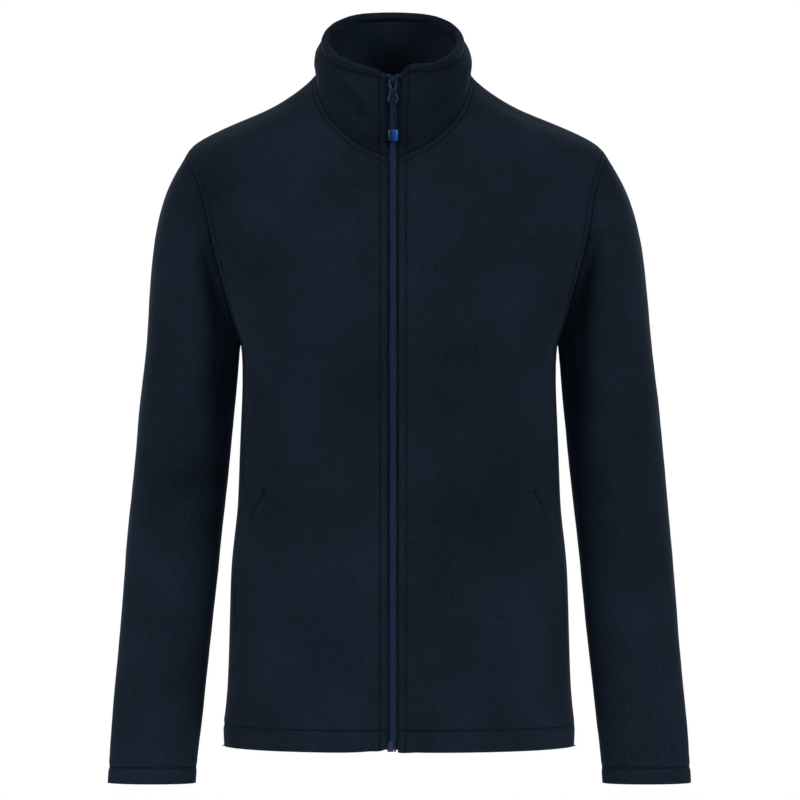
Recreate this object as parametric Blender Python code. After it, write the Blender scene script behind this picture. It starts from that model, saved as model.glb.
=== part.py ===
"""A microfleece jacket with a full-length front zip, filled out as if worn with nobody in it.

Frame: +Z up, the front faces -Y, the wearer's left is +X.  The origin lies between the shoulders, where
the collar meets the shoulder line.  Sizes are in millimetres and become metres when a mesh is made.
Each cut piece of cloth is one closed wall, 0.3 mm clear of the piece it is sewn to.
"""
import math
from bisect import bisect_right
from collections import namedtuple

import bmesh
import bpy
from mathutils import Matrix, Vector

MM = 0.001

# ------------------------------------------------------------------ cloth
WALL = 2.0              # one layer of microfleece
FOLD = 3.4              # an edge turned under and stitched flat
BAG = 1.2               # pocket bag jersey
TAPE = 1.0              # woven zip tape
SEAM_GAP = 0.3
HEM_BAND = 23.0         # depth of the turned hem

# ------------------------------------------------------------------ body
HEM_Z = -703.5
UNDERARM_Z = -283.0
NECK_Z = 3.0            # collar end of the shoulder seam
NECK_HALF = 81.0        # half the neck hole at the shoulder seam
FRONT_NECK_Z = -78.0
BACK_NECK_Z = -9.0
NECK_CUT = 1.7          # 2 would be an ellipse; less makes the front neck more of a V
NECK_SWELL = 4.0        # the neckline runs this much wider just below the shoulder seam
ZIP_EDGE = 6.35         # folded front edges, from the middle of the zip
FOLD_EDGE = 15.5        # inner limit of the turned front edge
SWAY = 6.5              # the body hangs this far to the wearer's left of the zip line
SWAY_DEPTH = 165.0      # reached this far below the shoulders

Section = namedtuple("Section", "z half_width front back square")
SECTIONS = (
    Section(-703.5, 183.5, 121.0, 117.0, 2.35),
    Section(-688.0, 185.0, 121.0, 117.0, 2.35),
    Section(-668.0, 182.5, 120.5, 116.0, 2.35),
    Section(-640.0, 180.0, 120.0, 114.0, 2.35),
    Section(-590.0, 178.5, 119.0, 111.0, 2.40),
    Section(-545.0, 177.5, 118.5, 109.0, 2.40),
    Section(-500.0, 175.5, 118.0, 108.0, 2.40),
    Section(-466.0, 170.6, 118.0, 107.0, 2.45),
    Section(-420.0, 168.5, 119.0, 107.5, 2.50),
    Section(-372.0, 167.0, 121.0, 110.0, 2.65),
    Section(-330.0, 164.3, 125.0, 115.0, 2.90),
    Section(-300.0, 164.0, 128.0, 119.0, 3.10),
    Section(-283.0, 165.5, 129.0, 121.0, 3.00),
    Section(-258.0, 179.0, 129.0, 123.0, 2.70),
    Section(-225.0, 198.0, 128.0, 126.0, 2.50),
    Section(-190.0, 218.0, 124.0, 127.0, 2.40),
    Section(-157.0, 228.0, 117.0, 126.0, 2.40),
    Section(-135.0, 230.0, 111.0, 123.0, 2.35),
    Section(-111.0, 228.0, 103.5, 118.0, 2.30),
    Section(-97.0, 225.0, 99.0, 114.0, 2.25),
    Section(-82.0, 220.5, 93.0, 109.5, 2.20),
    Section(-73.5, 215.0, 90.0, 107.0, 2.15),
    Section(-65.0, 202.0, 86.5, 104.0, 2.10),
    Section(-57.0, 185.0, 83.0, 101.0, 2.10),
    Section(-48.0, 165.0, 79.0, 97.0, 2.10),
    Section(-40.0, 144.0, 75.5, 93.0, 2.10),
    Section(-32.0, 126.0, 72.0, 88.0, 2.10),
    Section(-23.0, 112.0, 67.5, 82.0, 2.10),
    Section(-15.0, 100.0, 64.0, 76.0, 2.10),
    Section(-5.0, 88.0, 60.0, 69.0, 2.10),
    Section(3.0, 81.0, 57.0, 64.0, 2.10),
)

# The armhole, from the underarm up to the shoulder tip: how far it reaches forward and back.
ArmholeRow = namedtuple("ArmholeRow", "z forward backward")
ARMHOLE = (
    ArmholeRow(-283.0, 0.0, 0.0),
    ArmholeRow(-277.0, 27.0, 29.0),
    ArmholeRow(-260.0, 51.0, 55.0),
    ArmholeRow(-235.0, 66.0, 71.0),
    ArmholeRow(-205.0, 72.0, 78.0),
    ArmholeRow(-174.0, 71.0, 78.0),
    ArmholeRow(-145.0, 65.0, 74.0),
    ArmholeRow(-120.0, 55.0, 63.0),
    ArmholeRow(-101.0, 40.0, 46.0),
    ArmholeRow(-88.0, 22.0, 26.0),
    ArmholeRow(-82.0, 0.0, 0.0),
)
YOKE_STEPS = len(ARMHOLE) - 1
CENTRE_STEPS = YOKE_STEPS // 2          # rows that end on the centre line; the rest end on the neckline

# ------------------------------------------------------------------ slant pockets
MouthRow = namedtuple("MouthRow", "z angle half_gap lift")
MOUTH = (
    MouthRow(-536.0, 80.0, 0.7, 0.0),
    MouthRow(-511.0, 76.5, 1.3, 1.6),
    MouthRow(-485.0, 72.5, 1.6, 2.4),
    MouthRow(-458.0, 67.5, 1.3, 1.6),
    MouthRow(-431.0, 61.5, 0.7, 0.0),
)
MOUTH_FADE = 70.0       # past its ends the two columns beside the mouth part over this height
COLUMN_HALF = 9.0       # to this half distance
BAG_TOP_Z = -395.0
BAG_BOTTOM_Z = -615.0
BODY_ROWS = (HEM_Z, HEM_Z + HEM_BAND, HEM_Z + HEM_BAND + 1.5, -650.0, -615.0, -578.0,
             *(row.z for row in MOUTH), -395.0, -358.0, -320.0, UNDERARM_Z)
HEM_ROWS = 2            # the first rows are a turned edge

# How far the hem rises at the zip: at the front edge itself and one column away, for each side.
HemCorner = namedtuple("HemCorner", "at_edge beside")
HEM_CORNER = {1.0: HemCorner(2.0, 0.6), -1.0: HemCorner(6.5, 2.4)}
HEM_CORNER_SHARE = (1.0, 0.4, 0.4)      # of that rise, for each row from the hem up
BELOW_NECK = len(BODY_ROWS) + CENTRE_STEPS

# ------------------------------------------------------------------ sleeves
SleeveRow = namedtuple("SleeveRow", "z inner outer centre_y half_depth")
SLEEVE = (
    SleeveRow(-300.0, 167.0, 267.7, 6.0, 73.0),
    SleeveRow(-340.0, 170.6, 273.0, 5.5, 70.5),
    SleeveRow(-387.0, 175.4, 276.7, 4.0, 67.0),
    SleeveRow(-434.0, 180.1, 281.4, 1.0, 63.5),
    SleeveRow(-482.0, 185.3, 286.1, -3.0, 59.5),
    SleeveRow(-529.0, 190.1, 289.3, -7.0, 55.0),
    SleeveRow(-576.0, 195.3, 293.5, -11.0, 50.0),
    SleeveRow(-623.0, 200.6, 297.7, -15.5, 44.0),
    SleeveRow(-671.0, 205.3, 301.9, -20.0, 38.0),
    SleeveRow(-702.0, 209.5, 304.0, -23.0, 34.0),
    SleeveRow(-723.0, 211.5, 305.0, -25.0, 32.5),
    SleeveRow(-724.5, 211.6, 305.2, -25.1, 32.5),
    SleeveRow(-741.0, 212.8, 306.0, -26.5, 31.5),
)
SLEEVE_SQUARE = 2.15
CUFF_ROWS = 2

# How the sleeve leaves the armhole, from the shoulder tip round to the underarm.
Leaving = namedtuple("Leaving", "share across forward down")
LEAVING = (
    Leaving(0.0, 0.62, 0.00, 0.78),
    Leaving(0.2, 0.68, 0.12, 0.70),
    Leaving(0.5, 0.80, 0.20, 0.57),
    Leaving(0.7, 0.66, 0.06, 0.75),
    Leaving(0.85, 0.46, 0.00, 0.89),
    Leaving(1.0, 0.34, 0.00, 0.94),
)
CAP_STEPS = 7           # rows between the armhole and the first level ring

# The largest soft folds of the sleeves: share round the sleeve (0 outer, 0.25 front, 0.5 body side).
Fold = namedtuple("Fold", "z share reach_z reach_share slant depth")
SLEEVE_FOLDS = (
    Fold(-330.0, 0.36, 26.0, 0.10, 0.0012, -3.2),
    Fold(-372.0, 0.30, 20.0, 0.12, 0.0010, 2.2),
    Fold(-455.0, 0.22, 24.0, 0.13, -0.0008, -2.4),
    Fold(-500.0, 0.62, 26.0, 0.12, 0.0006, -3.0),
    Fold(-545.0, 0.80, 22.0, 0.13, 0.0006, 2.0),
    Fold(-640.0, 0.30, 22.0, 0.14, -0.0006, -1.8),
)

# ------------------------------------------------------------------ collar
COLLAR_HALF = 80.0
COLLAR_FRONT = 83.0
COLLAR_BACK = 62.0
COLLAR_SQUARE = 2.15
COLLAR_BULGE = 4.5
CollarTop = namedtuple("CollarTop", "angle z")
COLLAR_TOP = (
    CollarTop(0.0, 9.0),
    CollarTop(12.0, 14.5),
    CollarTop(30.0, 18.5),
    CollarTop(60.0, 27.0),
    CollarTop(90.0, 40.0),
    CollarTop(115.0, 55.0),
    CollarTop(140.0, 62.0),
    CollarTop(180.0, 63.5),
)
COLLAR_HEIGHTS = (0.0, 0.17, 0.34, 0.52, 0.70, 0.86, 0.975)
COLLAR_ROLL = 1.3       # the top edge turns in by this much
COLLAR_FOLD = 4.0       # soft slanting fold on the wearer's right of the collar
COLLAR_TAPE_ROOM = 5.3  # near the zip the inner collar leaves room for the tape

# ------------------------------------------------------------------ zip
TAPE_INNER = 0.6
TAPE_PARTED = 3.0       # the tapes part above the slider
TAPE_OUTER = 15.5
TAPE_DEPTH = FOLD + 0.5
CHAIN_HALF = 3.0
CHAIN_DEPTH = 1.0       # below the face of the front edges
CHAIN_THICK = 2.6
CHAIN_TOP_Z = -2.0
ZIP_BOTTOM_Z = -691.0
SLIDER_Z = 1.8
SLIDER_LENGTH = 11.0
SLIDER_HALF = 4.8
SLIDER_PLATE = 1.2
SLIDER_CLEAR = 0.4
BRIDGE_HALF = 1.0
BRIDGE_REACH = 2.8      # half the bridge along the zip
BRIDGE_HOLE = 1.8
BRIDGE_HEIGHT = 4.2
PIVOT_HEIGHT = 1.7      # pin of the pull above the slider's plate
PULL_LEAN = 8.0         # degrees that the hanging pull leans out over the chest
TAB_THICK = 1.4
PIN = 1.4
CORD = 2.3
END_WIDTH = 10.5
END_HEIGHT = 12.5
END_THICK = 6.0
BOX_SIZE = (6.6, 4.4, 11.0)
PIN_SIZE = (2.2, 2.2, 11.0)


class Smooth:
    """A cubic curve through rising stations that never overshoots their values."""

    def __init__(self, stations, values):
        self.at = list(stations)
        self.value = list(values)
        gaps = [high - low for low, high in zip(self.at, self.at[1:])]
        rises = [(high - low) / gap for low, high, gap in zip(self.value, self.value[1:], gaps)]
        inner = [0.0 if a * b <= 0.0 else 2.0 * a * b / (a + b) for a, b in zip(rises, rises[1:])]
        self.slope = [rises[0], *inner, rises[-1]]

    def __call__(self, station):
        station = min(max(station, self.at[0]), self.at[-1])
        i = min(bisect_right(self.at, station), len(self.at) - 1) - 1
        gap = self.at[i + 1] - self.at[i]
        t = (station - self.at[i]) / gap
        rise = 3.0 * t * t - 2.0 * t ** 3
        return ((1.0 - rise) * self.value[i] + rise * self.value[i + 1]
                + gap * (t * (1.0 - t) ** 2 * self.slope[i] - t * t * (1.0 - t) * self.slope[i + 1]))


def column(table, key, value):
    """One named column of a table as a smooth curve over another one."""
    rows = sorted(table, key=lambda row: getattr(row, key))
    return Smooth([getattr(row, key) for row in rows], [getattr(row, value) for row in rows])


def ease(t):
    t = min(max(t, 0.0), 1.0)
    return t * t * (3.0 - 2.0 * t)


# ------------------------------------------------------------------ the surface of the body
half_width = column(SECTIONS, "z", "half_width")
front_depth = column(SECTIONS, "z", "front")
back_depth = column(SECTIONS, "z", "back")
squareness = column(SECTIONS, "z", "square")


def sway(z):
    return SWAY * ease(-z / SWAY_DEPTH)


def torso(angle, z):
    """A point of the body's outer face; 0 degrees is the front, 90 the wearer's left, 180 the back."""
    across, along = math.sin(math.radians(angle)), math.cos(math.radians(angle))
    depth = front_depth(z) if along > 0.0 else back_depth(z)
    power = squareness(z)
    reach = (abs(across / half_width(z)) ** power + abs(along / depth) ** power) ** (-1.0 / power)
    return Vector((sway(z) + reach * across, -reach * along, z))


def torso_normal(angle, z):
    step = 0.6
    round_body = torso(angle + step, z) - torso(angle - step, z)
    up_body = torso(angle, z + step) - torso(angle, z - step)
    return round_body.cross(up_body).normalized()


def angle_at_x(x, z, front=True):
    """The angle of the body point that lies this far across at this height."""
    width, power = half_width(z), squareness(z)
    depth = front_depth(z) if front else -back_depth(z)
    across = x - sway(z)
    share = min(abs(across) / width, 1.0)
    return math.degrees(math.atan2(across, depth * (1.0 - share ** power) ** (1.0 / power)))


def angle_at_y(y, z):
    """The angle, on the wearer's left, of the body point that lies this far front or back."""
    width, power = half_width(z), squareness(z)
    depth = front_depth(z) if y < 0.0 else back_depth(z)
    return math.degrees(math.atan2(width * (1.0 - (abs(y) / depth) ** power) ** (1.0 / power), -y))


def neckline(step, front):
    """Points of half the neck hole, from the centre line (step 0) up to the shoulder seam."""
    steps = YOKE_STEPS - CENTRE_STEPS
    drop = FRONT_NECK_Z if front else BACK_NECK_Z
    cut = NECK_CUT if front else 2.0
    first = math.asin((ZIP_EDGE / NECK_HALF) ** (cut / 2.0)) if front else 0.0
    turn = first + (math.pi / 2.0 - first) * step / steps
    rise = 1.0 - max(math.cos(turn), 0.0) ** (2.0 / cut)
    swell = NECK_SWELL * math.sin(math.pi * step / steps) if front else 0.0
    return NECK_HALF * math.sin(turn) ** (2.0 / cut) + swell * (step / steps), drop + (NECK_Z - drop) * rise


# ------------------------------------------------------------------ walls of cloth
Spot = namedtuple("Spot", "outer inner")


def spot(point, normal, depth, thickness):
    """A pair of wall points under a face point: depth down to the wall, then its thickness."""
    return Spot(point - normal * depth, point - normal * (depth + thickness))


def shifted(pair, move):
    return Spot(pair.outer + move, pair.inner + move)


def pulled_in(rows, first=False, last=False, top=()):
    """Draws the sewn edges of a patch back by half the seam gap; top lists the columns of its top edge."""
    rows = [list(row) for row in rows]
    for row in rows:
        for edge, inside, wanted in ((0, 1, first), (-1, -2, last)):
            if wanted:
                inward = (row[inside].outer - row[edge].outer).normalized()
                row[edge] = shifted(row[edge], inward * SEAM_GAP / 2.0)
    for j in top:
        inward = (rows[-2][j].outer - rows[-1][j].outer).normalized()
        rows[-1][j] = shifted(rows[-1][j], inward * SEAM_GAP / 2.0)
    return rows


def material(name, colour, roughness, metallic=0.0):
    finish = bpy.data.materials.new(name)
    finish.use_nodes = True
    shader = finish.node_tree.nodes["Principled BSDF"]
    shader.inputs["Base Color"].default_value = (*colour, 1.0)
    shader.inputs["Roughness"].default_value = roughness
    shader.inputs["Metallic"].default_value = metallic
    return finish


def place(name, mesh, finish, location=(0.0, 0.0, 0.0), lean=0.0):
    """Turns a bmesh in millimetres into a named object in metres."""
    bmesh.ops.recalc_face_normals(mesh, faces=mesh.faces)
    bmesh.ops.scale(mesh, vec=(MM, MM, MM), verts=mesh.verts)
    data = bpy.data.meshes.new(name)
    mesh.to_mesh(data)
    mesh.free()
    data.materials.append(finish)
    data.shade_smooth()
    data.set_sharp_from_angle(angle=math.radians(35.0))
    item = bpy.data.objects.new(name, data)
    item.location = Vector(location) * MM
    item.rotation_euler.x = math.radians(lean)
    bpy.context.scene.collection.objects.link(item)
    return item


def cloth(name, patches, finish, holes=()):
    """One closed wall from patches of spots; neighbouring patches share the spots where they touch."""
    mesh = bmesh.new()
    inner_of = {}
    corners = {}

    def corner(pair):
        key = tuple(round(value, 3) for value in pair.outer)
        if key not in corners:
            corners[key] = mesh.verts.new(pair.outer)
            inner_of[corners[key]] = mesh.verts.new(pair.inner)
        return corners[key]

    for rows in patches:
        for i, (low, high) in enumerate(zip(rows, rows[1:])):
            for j in range(len(low) - 1):
                if (i, j) not in holes:
                    a, b, c, d = (corner(pair) for pair in (low[j], low[j + 1], high[j + 1], high[j]))
                    mesh.faces.new((a, b, c))
                    mesh.faces.new((a, c, d))
    outer_faces = list(mesh.faces)
    rim = [[vert for vert in edge.verts] for edge in mesh.edges if edge.is_boundary]
    for face in outer_faces:
        mesh.faces.new([inner_of[vert] for vert in reversed(face.verts)])
    for start, end in rim:
        mesh.faces.new((start, end, inner_of[end], inner_of[start]))
    return place(name, mesh, finish)


# ------------------------------------------------------------------ fronts and back
mouth_angle = column(MOUTH, "z", "angle")
mouth_gap = column(MOUTH, "z", "half_gap")
mouth_lift = column(MOUTH, "z", "lift")
FRONT_COLUMNS = 5       # between the turned edge and the pocket
SIDE_COLUMNS = 3        # between the pocket and the side seam
MOUTH_COLUMN = FRONT_COLUMNS + 1
BACK_COLUMNS = 9
REACH = 165.0           # rough distance of the pocket from the body's axis, to turn millimetres to degrees


def front_shares(z, edge_angle):
    """Where the columns of a front lie in one row, as shares of the way from zip to side seam."""
    past = max(MOUTH[0].z - z, z - MOUTH[-1].z, 0.0)
    half = mouth_gap(z) + (COLUMN_HALF - mouth_gap(z)) * ease(past / MOUTH_FADE)
    span = 90.0 - edge_angle
    middle = (mouth_angle(z) - edge_angle) / span
    half_share = math.degrees(half / REACH) / span
    band = (FOLD_EDGE - ZIP_EDGE) / 215.0
    inner = [band + (middle - half_share - band) * k / FRONT_COLUMNS for k in range(FRONT_COLUMNS + 1)]
    outer = [middle + half_share + (1.0 - middle - half_share) * k / SIDE_COLUMNS
             for k in range(SIDE_COLUMNS + 1)]
    return [0.0, *inner, *outer]


def half_rows(side, front):
    """(angle, height) of each grid point of a front, or of half the back, from hem to shoulder seam."""
    rows = []

    def add(centre, seam, z):
        shares = [k / BACK_COLUMNS for k in range(BACK_COLUMNS + 1)]
        if front:
            shares = front_shares(z, side * on_centre(z)[0])
        rows.append([tuple(a + (b - a) * share for a, b in zip(centre, seam)) for share in shares])

    def on_centre(z):
        return (angle_at_x(side * ZIP_EDGE, z) if front else side * 180.0, z)

    for z in BODY_ROWS:
        add(on_centre(z), (side * 90.0, z), z)
    bottom = FRONT_NECK_Z if front else BACK_NECK_Z
    for step in range(1, YOKE_STEPS + 1):
        hole = ARMHOLE[step]
        seam = (side * angle_at_y(-hole.forward if front else hole.backward, hole.z), hole.z)
        if step <= CENTRE_STEPS:
            centre = on_centre(UNDERARM_Z + (bottom - UNDERARM_Z) * step / CENTRE_STEPS)
        else:
            x, z = neckline(step - CENTRE_STEPS, front)
            centre = (side * abs(angle_at_x(side * x, z, front)), z)
        add(centre, seam, UNDERARM_Z)
    if front:
        for row, share in zip(rows, HEM_CORNER_SHARE):
            for j, rise in enumerate(HEM_CORNER[side]):
                row[j] = (row[j][0], row[j][1] + rise * share)
    return rows


def front_spots(side):
    """Wall of one front: turned at the hem and at the zip, lifted along the pocket mouth."""
    rows = []
    for i, angles in enumerate(half_rows(side, True)):
        row = []
        for j, (angle, z) in enumerate(angles):
            normal = zip_normal(z) if j < 2 and i < BELOW_NECK else torso_normal(angle, z)
            lift = mouth_lift(z) if MOUTH[0].z <= z <= MOUTH[-1].z else 0.0
            share = {MOUTH_COLUMN - 1: 0.35, MOUTH_COLUMN: 1.0, MOUTH_COLUMN + 1: -0.3}.get(j, 0.0)
            turned = i < HEM_ROWS or (j < 2 and i <= BELOW_NECK)
            row.append(spot(torso(angle, z) + normal * lift * share, normal, 0.0, FOLD if turned else WALL))
        rows.append(row)
    return rows


def pocket_hole():
    """The cells left out of a front's grid along the pocket mouth."""
    first = BODY_ROWS.index(MOUTH[0].z)
    return {(first + k, MOUTH_COLUMN) for k in range(len(MOUTH) - 1)}


def sewn_front(side):
    rows = front_spots(side)
    rows = rows[:BELOW_NECK - 1] + pulled_in(rows[BELOW_NECK - 1:], first=True)
    return pulled_in(rows, last=True, top=range(len(rows[0])))


def sewn_back():
    patches = []
    for side in (1.0, -1.0):
        rows = [[spot(torso(angle, z), torso_normal(angle, z), 0.0, FOLD if i < HEM_ROWS else WALL)
                 for angle, z in angles] for i, angles in enumerate(half_rows(side, False))]
        rows = rows[:BELOW_NECK] + pulled_in(rows[BELOW_NECK:], first=True)
        patches.append(pulled_in(rows, last=True, top=range(len(rows[0]))))
        lowered = Vector((0.0, 0.0, -SEAM_GAP / 2.0))
        patches[-1][BELOW_NECK - 1][0] = shifted(patches[-1][BELOW_NECK - 1][0], lowered)
    return patches


def pocket_bag(side):
    """The pocket bag, made from the front's own grid points moved in behind it."""
    rows = [row for row in half_rows(side, True)[:len(BODY_ROWS)] if BAG_BOTTOM_Z <= row[0][1] <= BAG_TOP_Z]
    depth = WALL + 0.3 * max(row.lift for row in MOUTH) + 0.4
    return [[spot(torso(angle, z), torso_normal(angle, z), depth, BAG) for angle, z in row[3:-1]]
            for row in rows]


# ------------------------------------------------------------------ sleeves
sleeve_inner = column(SLEEVE, "z", "inner")
sleeve_outer = column(SLEEVE, "z", "outer")
sleeve_y = column(SLEEVE, "z", "centre_y")
sleeve_depth = column(SLEEVE, "z", "half_depth")
leave_across = column(LEAVING, "share", "across")
leave_forward = column(LEAVING, "share", "forward")
leave_down = column(LEAVING, "share", "down")
ROUND_STEPS = 2 * YOKE_STEPS


def fold_height(z, share):
    """How far the soft folds lift the sleeve's face at one place."""
    height = 0.0
    for fold in SLEEVE_FOLDS:
        middle = fold.share + fold.slant * (z - fold.z)
        away = (share - middle + 0.5) % 1.0 - 0.5
        height += fold.depth * math.exp(-((z - fold.z) / fold.reach_z) ** 2 - (away / fold.reach_share) ** 2)
    return height


def sleeve_level(side, z, k):
    """A point of a level ring: k counts steps from the outer side round the front to the body side."""
    turn = 2.0 * math.pi * k / ROUND_STEPS
    half = (sleeve_outer(z) - sleeve_inner(z)) / 2.0
    c, s = math.cos(turn), math.sin(turn)
    reach = (abs(c) ** SLEEVE_SQUARE + abs(s) ** SLEEVE_SQUARE) ** (-1.0 / SLEEVE_SQUARE)
    swell = 1.0 + fold_height(z, k / ROUND_STEPS) / half
    x = (sleeve_inner(z) + sleeve_outer(z)) / 2.0 + half * swell * reach * c
    return Vector((side * x + sway(z), sleeve_y(z) - sleeve_depth(z) * swell * reach * s, z))


def armhole_angle(k):
    """(angle, height) of the armhole point that ring step k starts from, on the wearer's left."""
    front = k <= YOKE_STEPS
    row = ARMHOLE[YOKE_STEPS - k] if front else ARMHOLE[k - YOKE_STEPS]
    return angle_at_y(-row.forward if front else row.backward, row.z), row.z


def sleeve_spots(side):
    first_z = SLEEVE[0].z
    points = [[] for _ in range(CAP_STEPS)]
    for k in range(ROUND_STEPS):
        angle, z = armhole_angle(k)
        start = torso(side * angle, z)
        end = sleeve_level(side, first_z, k)
        share = min(k, ROUND_STEPS - k) / YOKE_STEPS
        forward = -leave_forward(share) if k <= YOKE_STEPS else leave_forward(share)
        reach = (end - start).length
        leaving = Vector((side * leave_across(share), forward, -leave_down(share))).normalized()
        arriving = (sleeve_level(side, first_z - 5.0, k) - end).normalized()
        for step in range(CAP_STEPS):
            t = step / CAP_STEPS
            rise = ease(t)
            points[step].append(start.lerp(end, rise) + leaving * reach * t * (1.0 - t) ** 2
                                - arriving * reach * t * t * (1.0 - t))
        points[0][-1] = start + leaving * SEAM_GAP / 2.0
    points += [[sleeve_level(side, row.z, k) for k in range(ROUND_STEPS)] for row in SLEEVE]
    rows = []
    for i, ring in enumerate(points):
        above, below = points[max(i - 1, 0)], points[min(i + 1, len(points) - 1)]
        thickness = FOLD if i >= len(points) - CUFF_ROWS else WALL
        row = []
        for k, point in enumerate(ring):
            round_arm = ring[(k + 1) % ROUND_STEPS] - ring[k - 1]
            normal = side * round_arm.cross(below[k] - above[k]).normalized()
            if normal.dot(point - sum(ring, Vector()) / ROUND_STEPS) < 0.0 and i >= CAP_STEPS:
                normal.negate()
            if i == 0:
                body_normal = torso_normal(side * armhole_angle(k)[0], armhole_angle(k)[1])
                from_hole = point - sum(ring, Vector()) / ROUND_STEPS
                into_panel = (from_hole - body_normal * from_hole.dot(body_normal)).normalized()
                normal = (normal - into_panel * min(normal.dot(into_panel), 0.0)).normalized()
            row.append(spot(point, normal, 0.0, thickness))
        rows.append(row + [row[0]])
    return rows


# ------------------------------------------------------------------ collar
collar_top = column(COLLAR_TOP, "angle", "z")


def neck_ring():
    """(angle, height) round the whole neckline, from the wearer's left front edge to the right one."""
    ring = []
    for side in (1.0, -1.0):
        half = []
        for front in (True, False):
            steps = range(YOKE_STEPS - CENTRE_STEPS + 1)
            points = [neckline(step, front) for step in steps]
            angles = [(side * abs(angle_at_x(side * x, z, front)), z) for x, z in points]
            half += angles if front else list(reversed(angles))[1:]
        ring += half if side > 0 else list(reversed(half))[1:]
    return ring


def collar_points():
    """Rows of collar face points from the neckline up to the top edge."""
    base = [torso(angle, z) for angle, z in neck_ring()]
    base[0].x, base[-1].x = ZIP_EDGE, -ZIP_EDGE
    rows = []
    for height in COLLAR_HEIGHTS:
        row = []
        for foot in base:
            turn = math.atan2(foot.x, -foot.y)
            c, s = math.cos(turn), math.sin(turn)
            depth = COLLAR_FRONT if c > 0.0 else COLLAR_BACK
            reach = (abs(s / COLLAR_HALF) ** COLLAR_SQUARE + abs(c / depth) ** COLLAR_SQUARE)
            reach **= -1.0 / COLLAR_SQUARE
            head = Vector((reach * s, -reach * c, collar_top(abs(math.degrees(turn)))))
            if abs(foot.x) <= ZIP_EDGE + 0.1 and c > 0.0:
                head.x = foot.x
            point = foot.lerp(head, height)
            bulge = COLLAR_BULGE * math.sin(math.pi * height) * ease(abs(s) * 1.6)
            slant = abs(math.degrees(turn)) - 62.0 + 52.0 * (1.0 - height)
            crease = COLLAR_FOLD * math.exp(-(slant / 13.0) ** 2) * math.sin(math.pi * height)
            bulge -= crease if s < 0.0 else 0.35 * crease
            row.append(point + Vector((s, -c, 0.0)) * bulge)
        rows.append(row)
    lift = Vector((0.0, 0.0, SEAM_GAP / 2.0))
    rows[0] = [foot + (above - foot).normalized() * SEAM_GAP / 2.0 + lift for foot, above in zip(*rows[:2])]
    return rows


def grid_normals(points):
    normals = []
    for i, row in enumerate(points):
        up, down = points[min(i + 1, len(points) - 1)], points[max(i - 1, 0)]
        normals.append([])
        for j in range(len(row)):
            left, right = row[max(j - 1, 0)], row[min(j + 1, len(row) - 1)]
            normals[-1].append((right - left).cross(up[j] - down[j]).normalized())
    return normals


def collar_spots(depth, near_zip, thickness, thick_at_zip):
    """A collar layer; the columns next to the zip have their own depth and thickness."""
    points = collar_points()
    normals = grid_normals(points)
    rows = []
    for row, row_normals in zip(points, normals):
        last = len(row) - 1
        beside_zip = zip_normal(row[0].z)
        rows.append([spot(point, beside_zip, near_zip, thick_at_zip) if min(j, last - j) < 2
                     else spot(point, normal, depth, thickness)
                     for j, (point, normal) in enumerate(zip(row, row_normals))])
    return rows


def with_rolled_top(rows, outer_layer):
    """Adds the narrow top edge, whose outer corner is turned in."""
    top = []
    for below, pair in zip(rows[-2], rows[-1]):
        up = (pair.outer - below.outer).normalized() * 2.0
        inward = (pair.inner - pair.outer).normalized() * COLLAR_ROLL
        top.append(Spot(pair.outer + up + inward, pair.inner + up) if outer_layer
                   else Spot(pair.outer + up, pair.inner + up - inward))
    return rows + [top]


# ------------------------------------------------------------------ zip
def zip_line():
    """Face points of the two columns beside the zip, from the hem to the collar's top edge."""
    lines = {}
    collar = collar_points()
    for side in (1.0, -1.0):
        line = [(torso(*row[0]), torso(*row[1])) for row in half_rows(side, True)[:BELOW_NECK]]
        line += [(row[0], row[1]) if side > 0 else (row[-1], row[-2]) for row in collar]
        lines[side] = line
    return lines


def zip_face(z):
    """How far forward the front edges' face lies at one height of the zip."""
    line = [edge for edge, _ in ZIP_LINES[1.0]]
    return Smooth([edge.z for edge in line], [edge.y for edge in line])(z)


def zip_normal(z):
    return Vector((0.0, -1.0, (zip_face(z + 4.0) - zip_face(z - 4.0)) / 8.0)).normalized()


def zip_strip(stations, low, high, depth, thickness):
    """A strip along the zip: stations are heights, low and high give its edges at each height."""
    rows = []
    for z in stations:
        middle = [low(z) + (high(z) - low(z)) * t for t in (0.0, 1.0)]
        rows.append([spot(Vector((x, zip_face(z), z)), zip_normal(z), depth, thickness) for x in middle])
    return rows


def tape_spots(side):
    rows = []
    for edge, beside in ZIP_LINES[side]:
        if edge.z < ZIP_BOTTOM_Z:
            continue
        parted = TAPE_INNER + (TAPE_PARTED - TAPE_INNER) * ease((edge.z + 4.0) / 10.0)
        share = (TAPE_OUTER - ZIP_EDGE) / (abs(beside.x) - ZIP_EDGE)
        outer = edge.lerp(beside, min(share, 1.0))
        normal = zip_normal(edge.z)
        rows.append([spot(point, normal, TAPE_DEPTH, TAPE)
                     for point in (Vector((side * parted, edge.y, edge.z)), edge, outer)])
    drop = Vector((0.0, 0.0, ZIP_BOTTOM_Z - rows[0][0].outer.z))
    return [[shifted(pair, drop) for pair in rows[0]], *rows]


def block(mesh, low, high):
    """Adds an upright box between two corners."""
    size = [b - a for a, b in zip(low, high)]
    middle = [(a + b) / 2.0 for a, b in zip(low, high)]
    bmesh.ops.create_cube(mesh, size=1.0, matrix=Matrix.Translation(middle) @ Matrix.Diagonal((*size, 1.0)))


def boxed(name, low, high, finish, location, lean=0.0, bevel=0.0):
    mesh = bmesh.new()
    block(mesh, low, high)
    if bevel:
        bmesh.ops.bevel(mesh, geom=mesh.edges, offset=bevel, segments=3, profile=0.5, affect="EDGES",
                        material=-1)
    return place(name, mesh, finish, location, lean)


def join(base, others):
    """Unites overlapping pieces into the first one."""
    for other in others:
        union = base.modifiers.new("join " + other.name, "BOOLEAN")
        union.operation = "UNION"
        union.object = other
        other.hide_render = True
        other.display_type = "WIRE"


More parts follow.
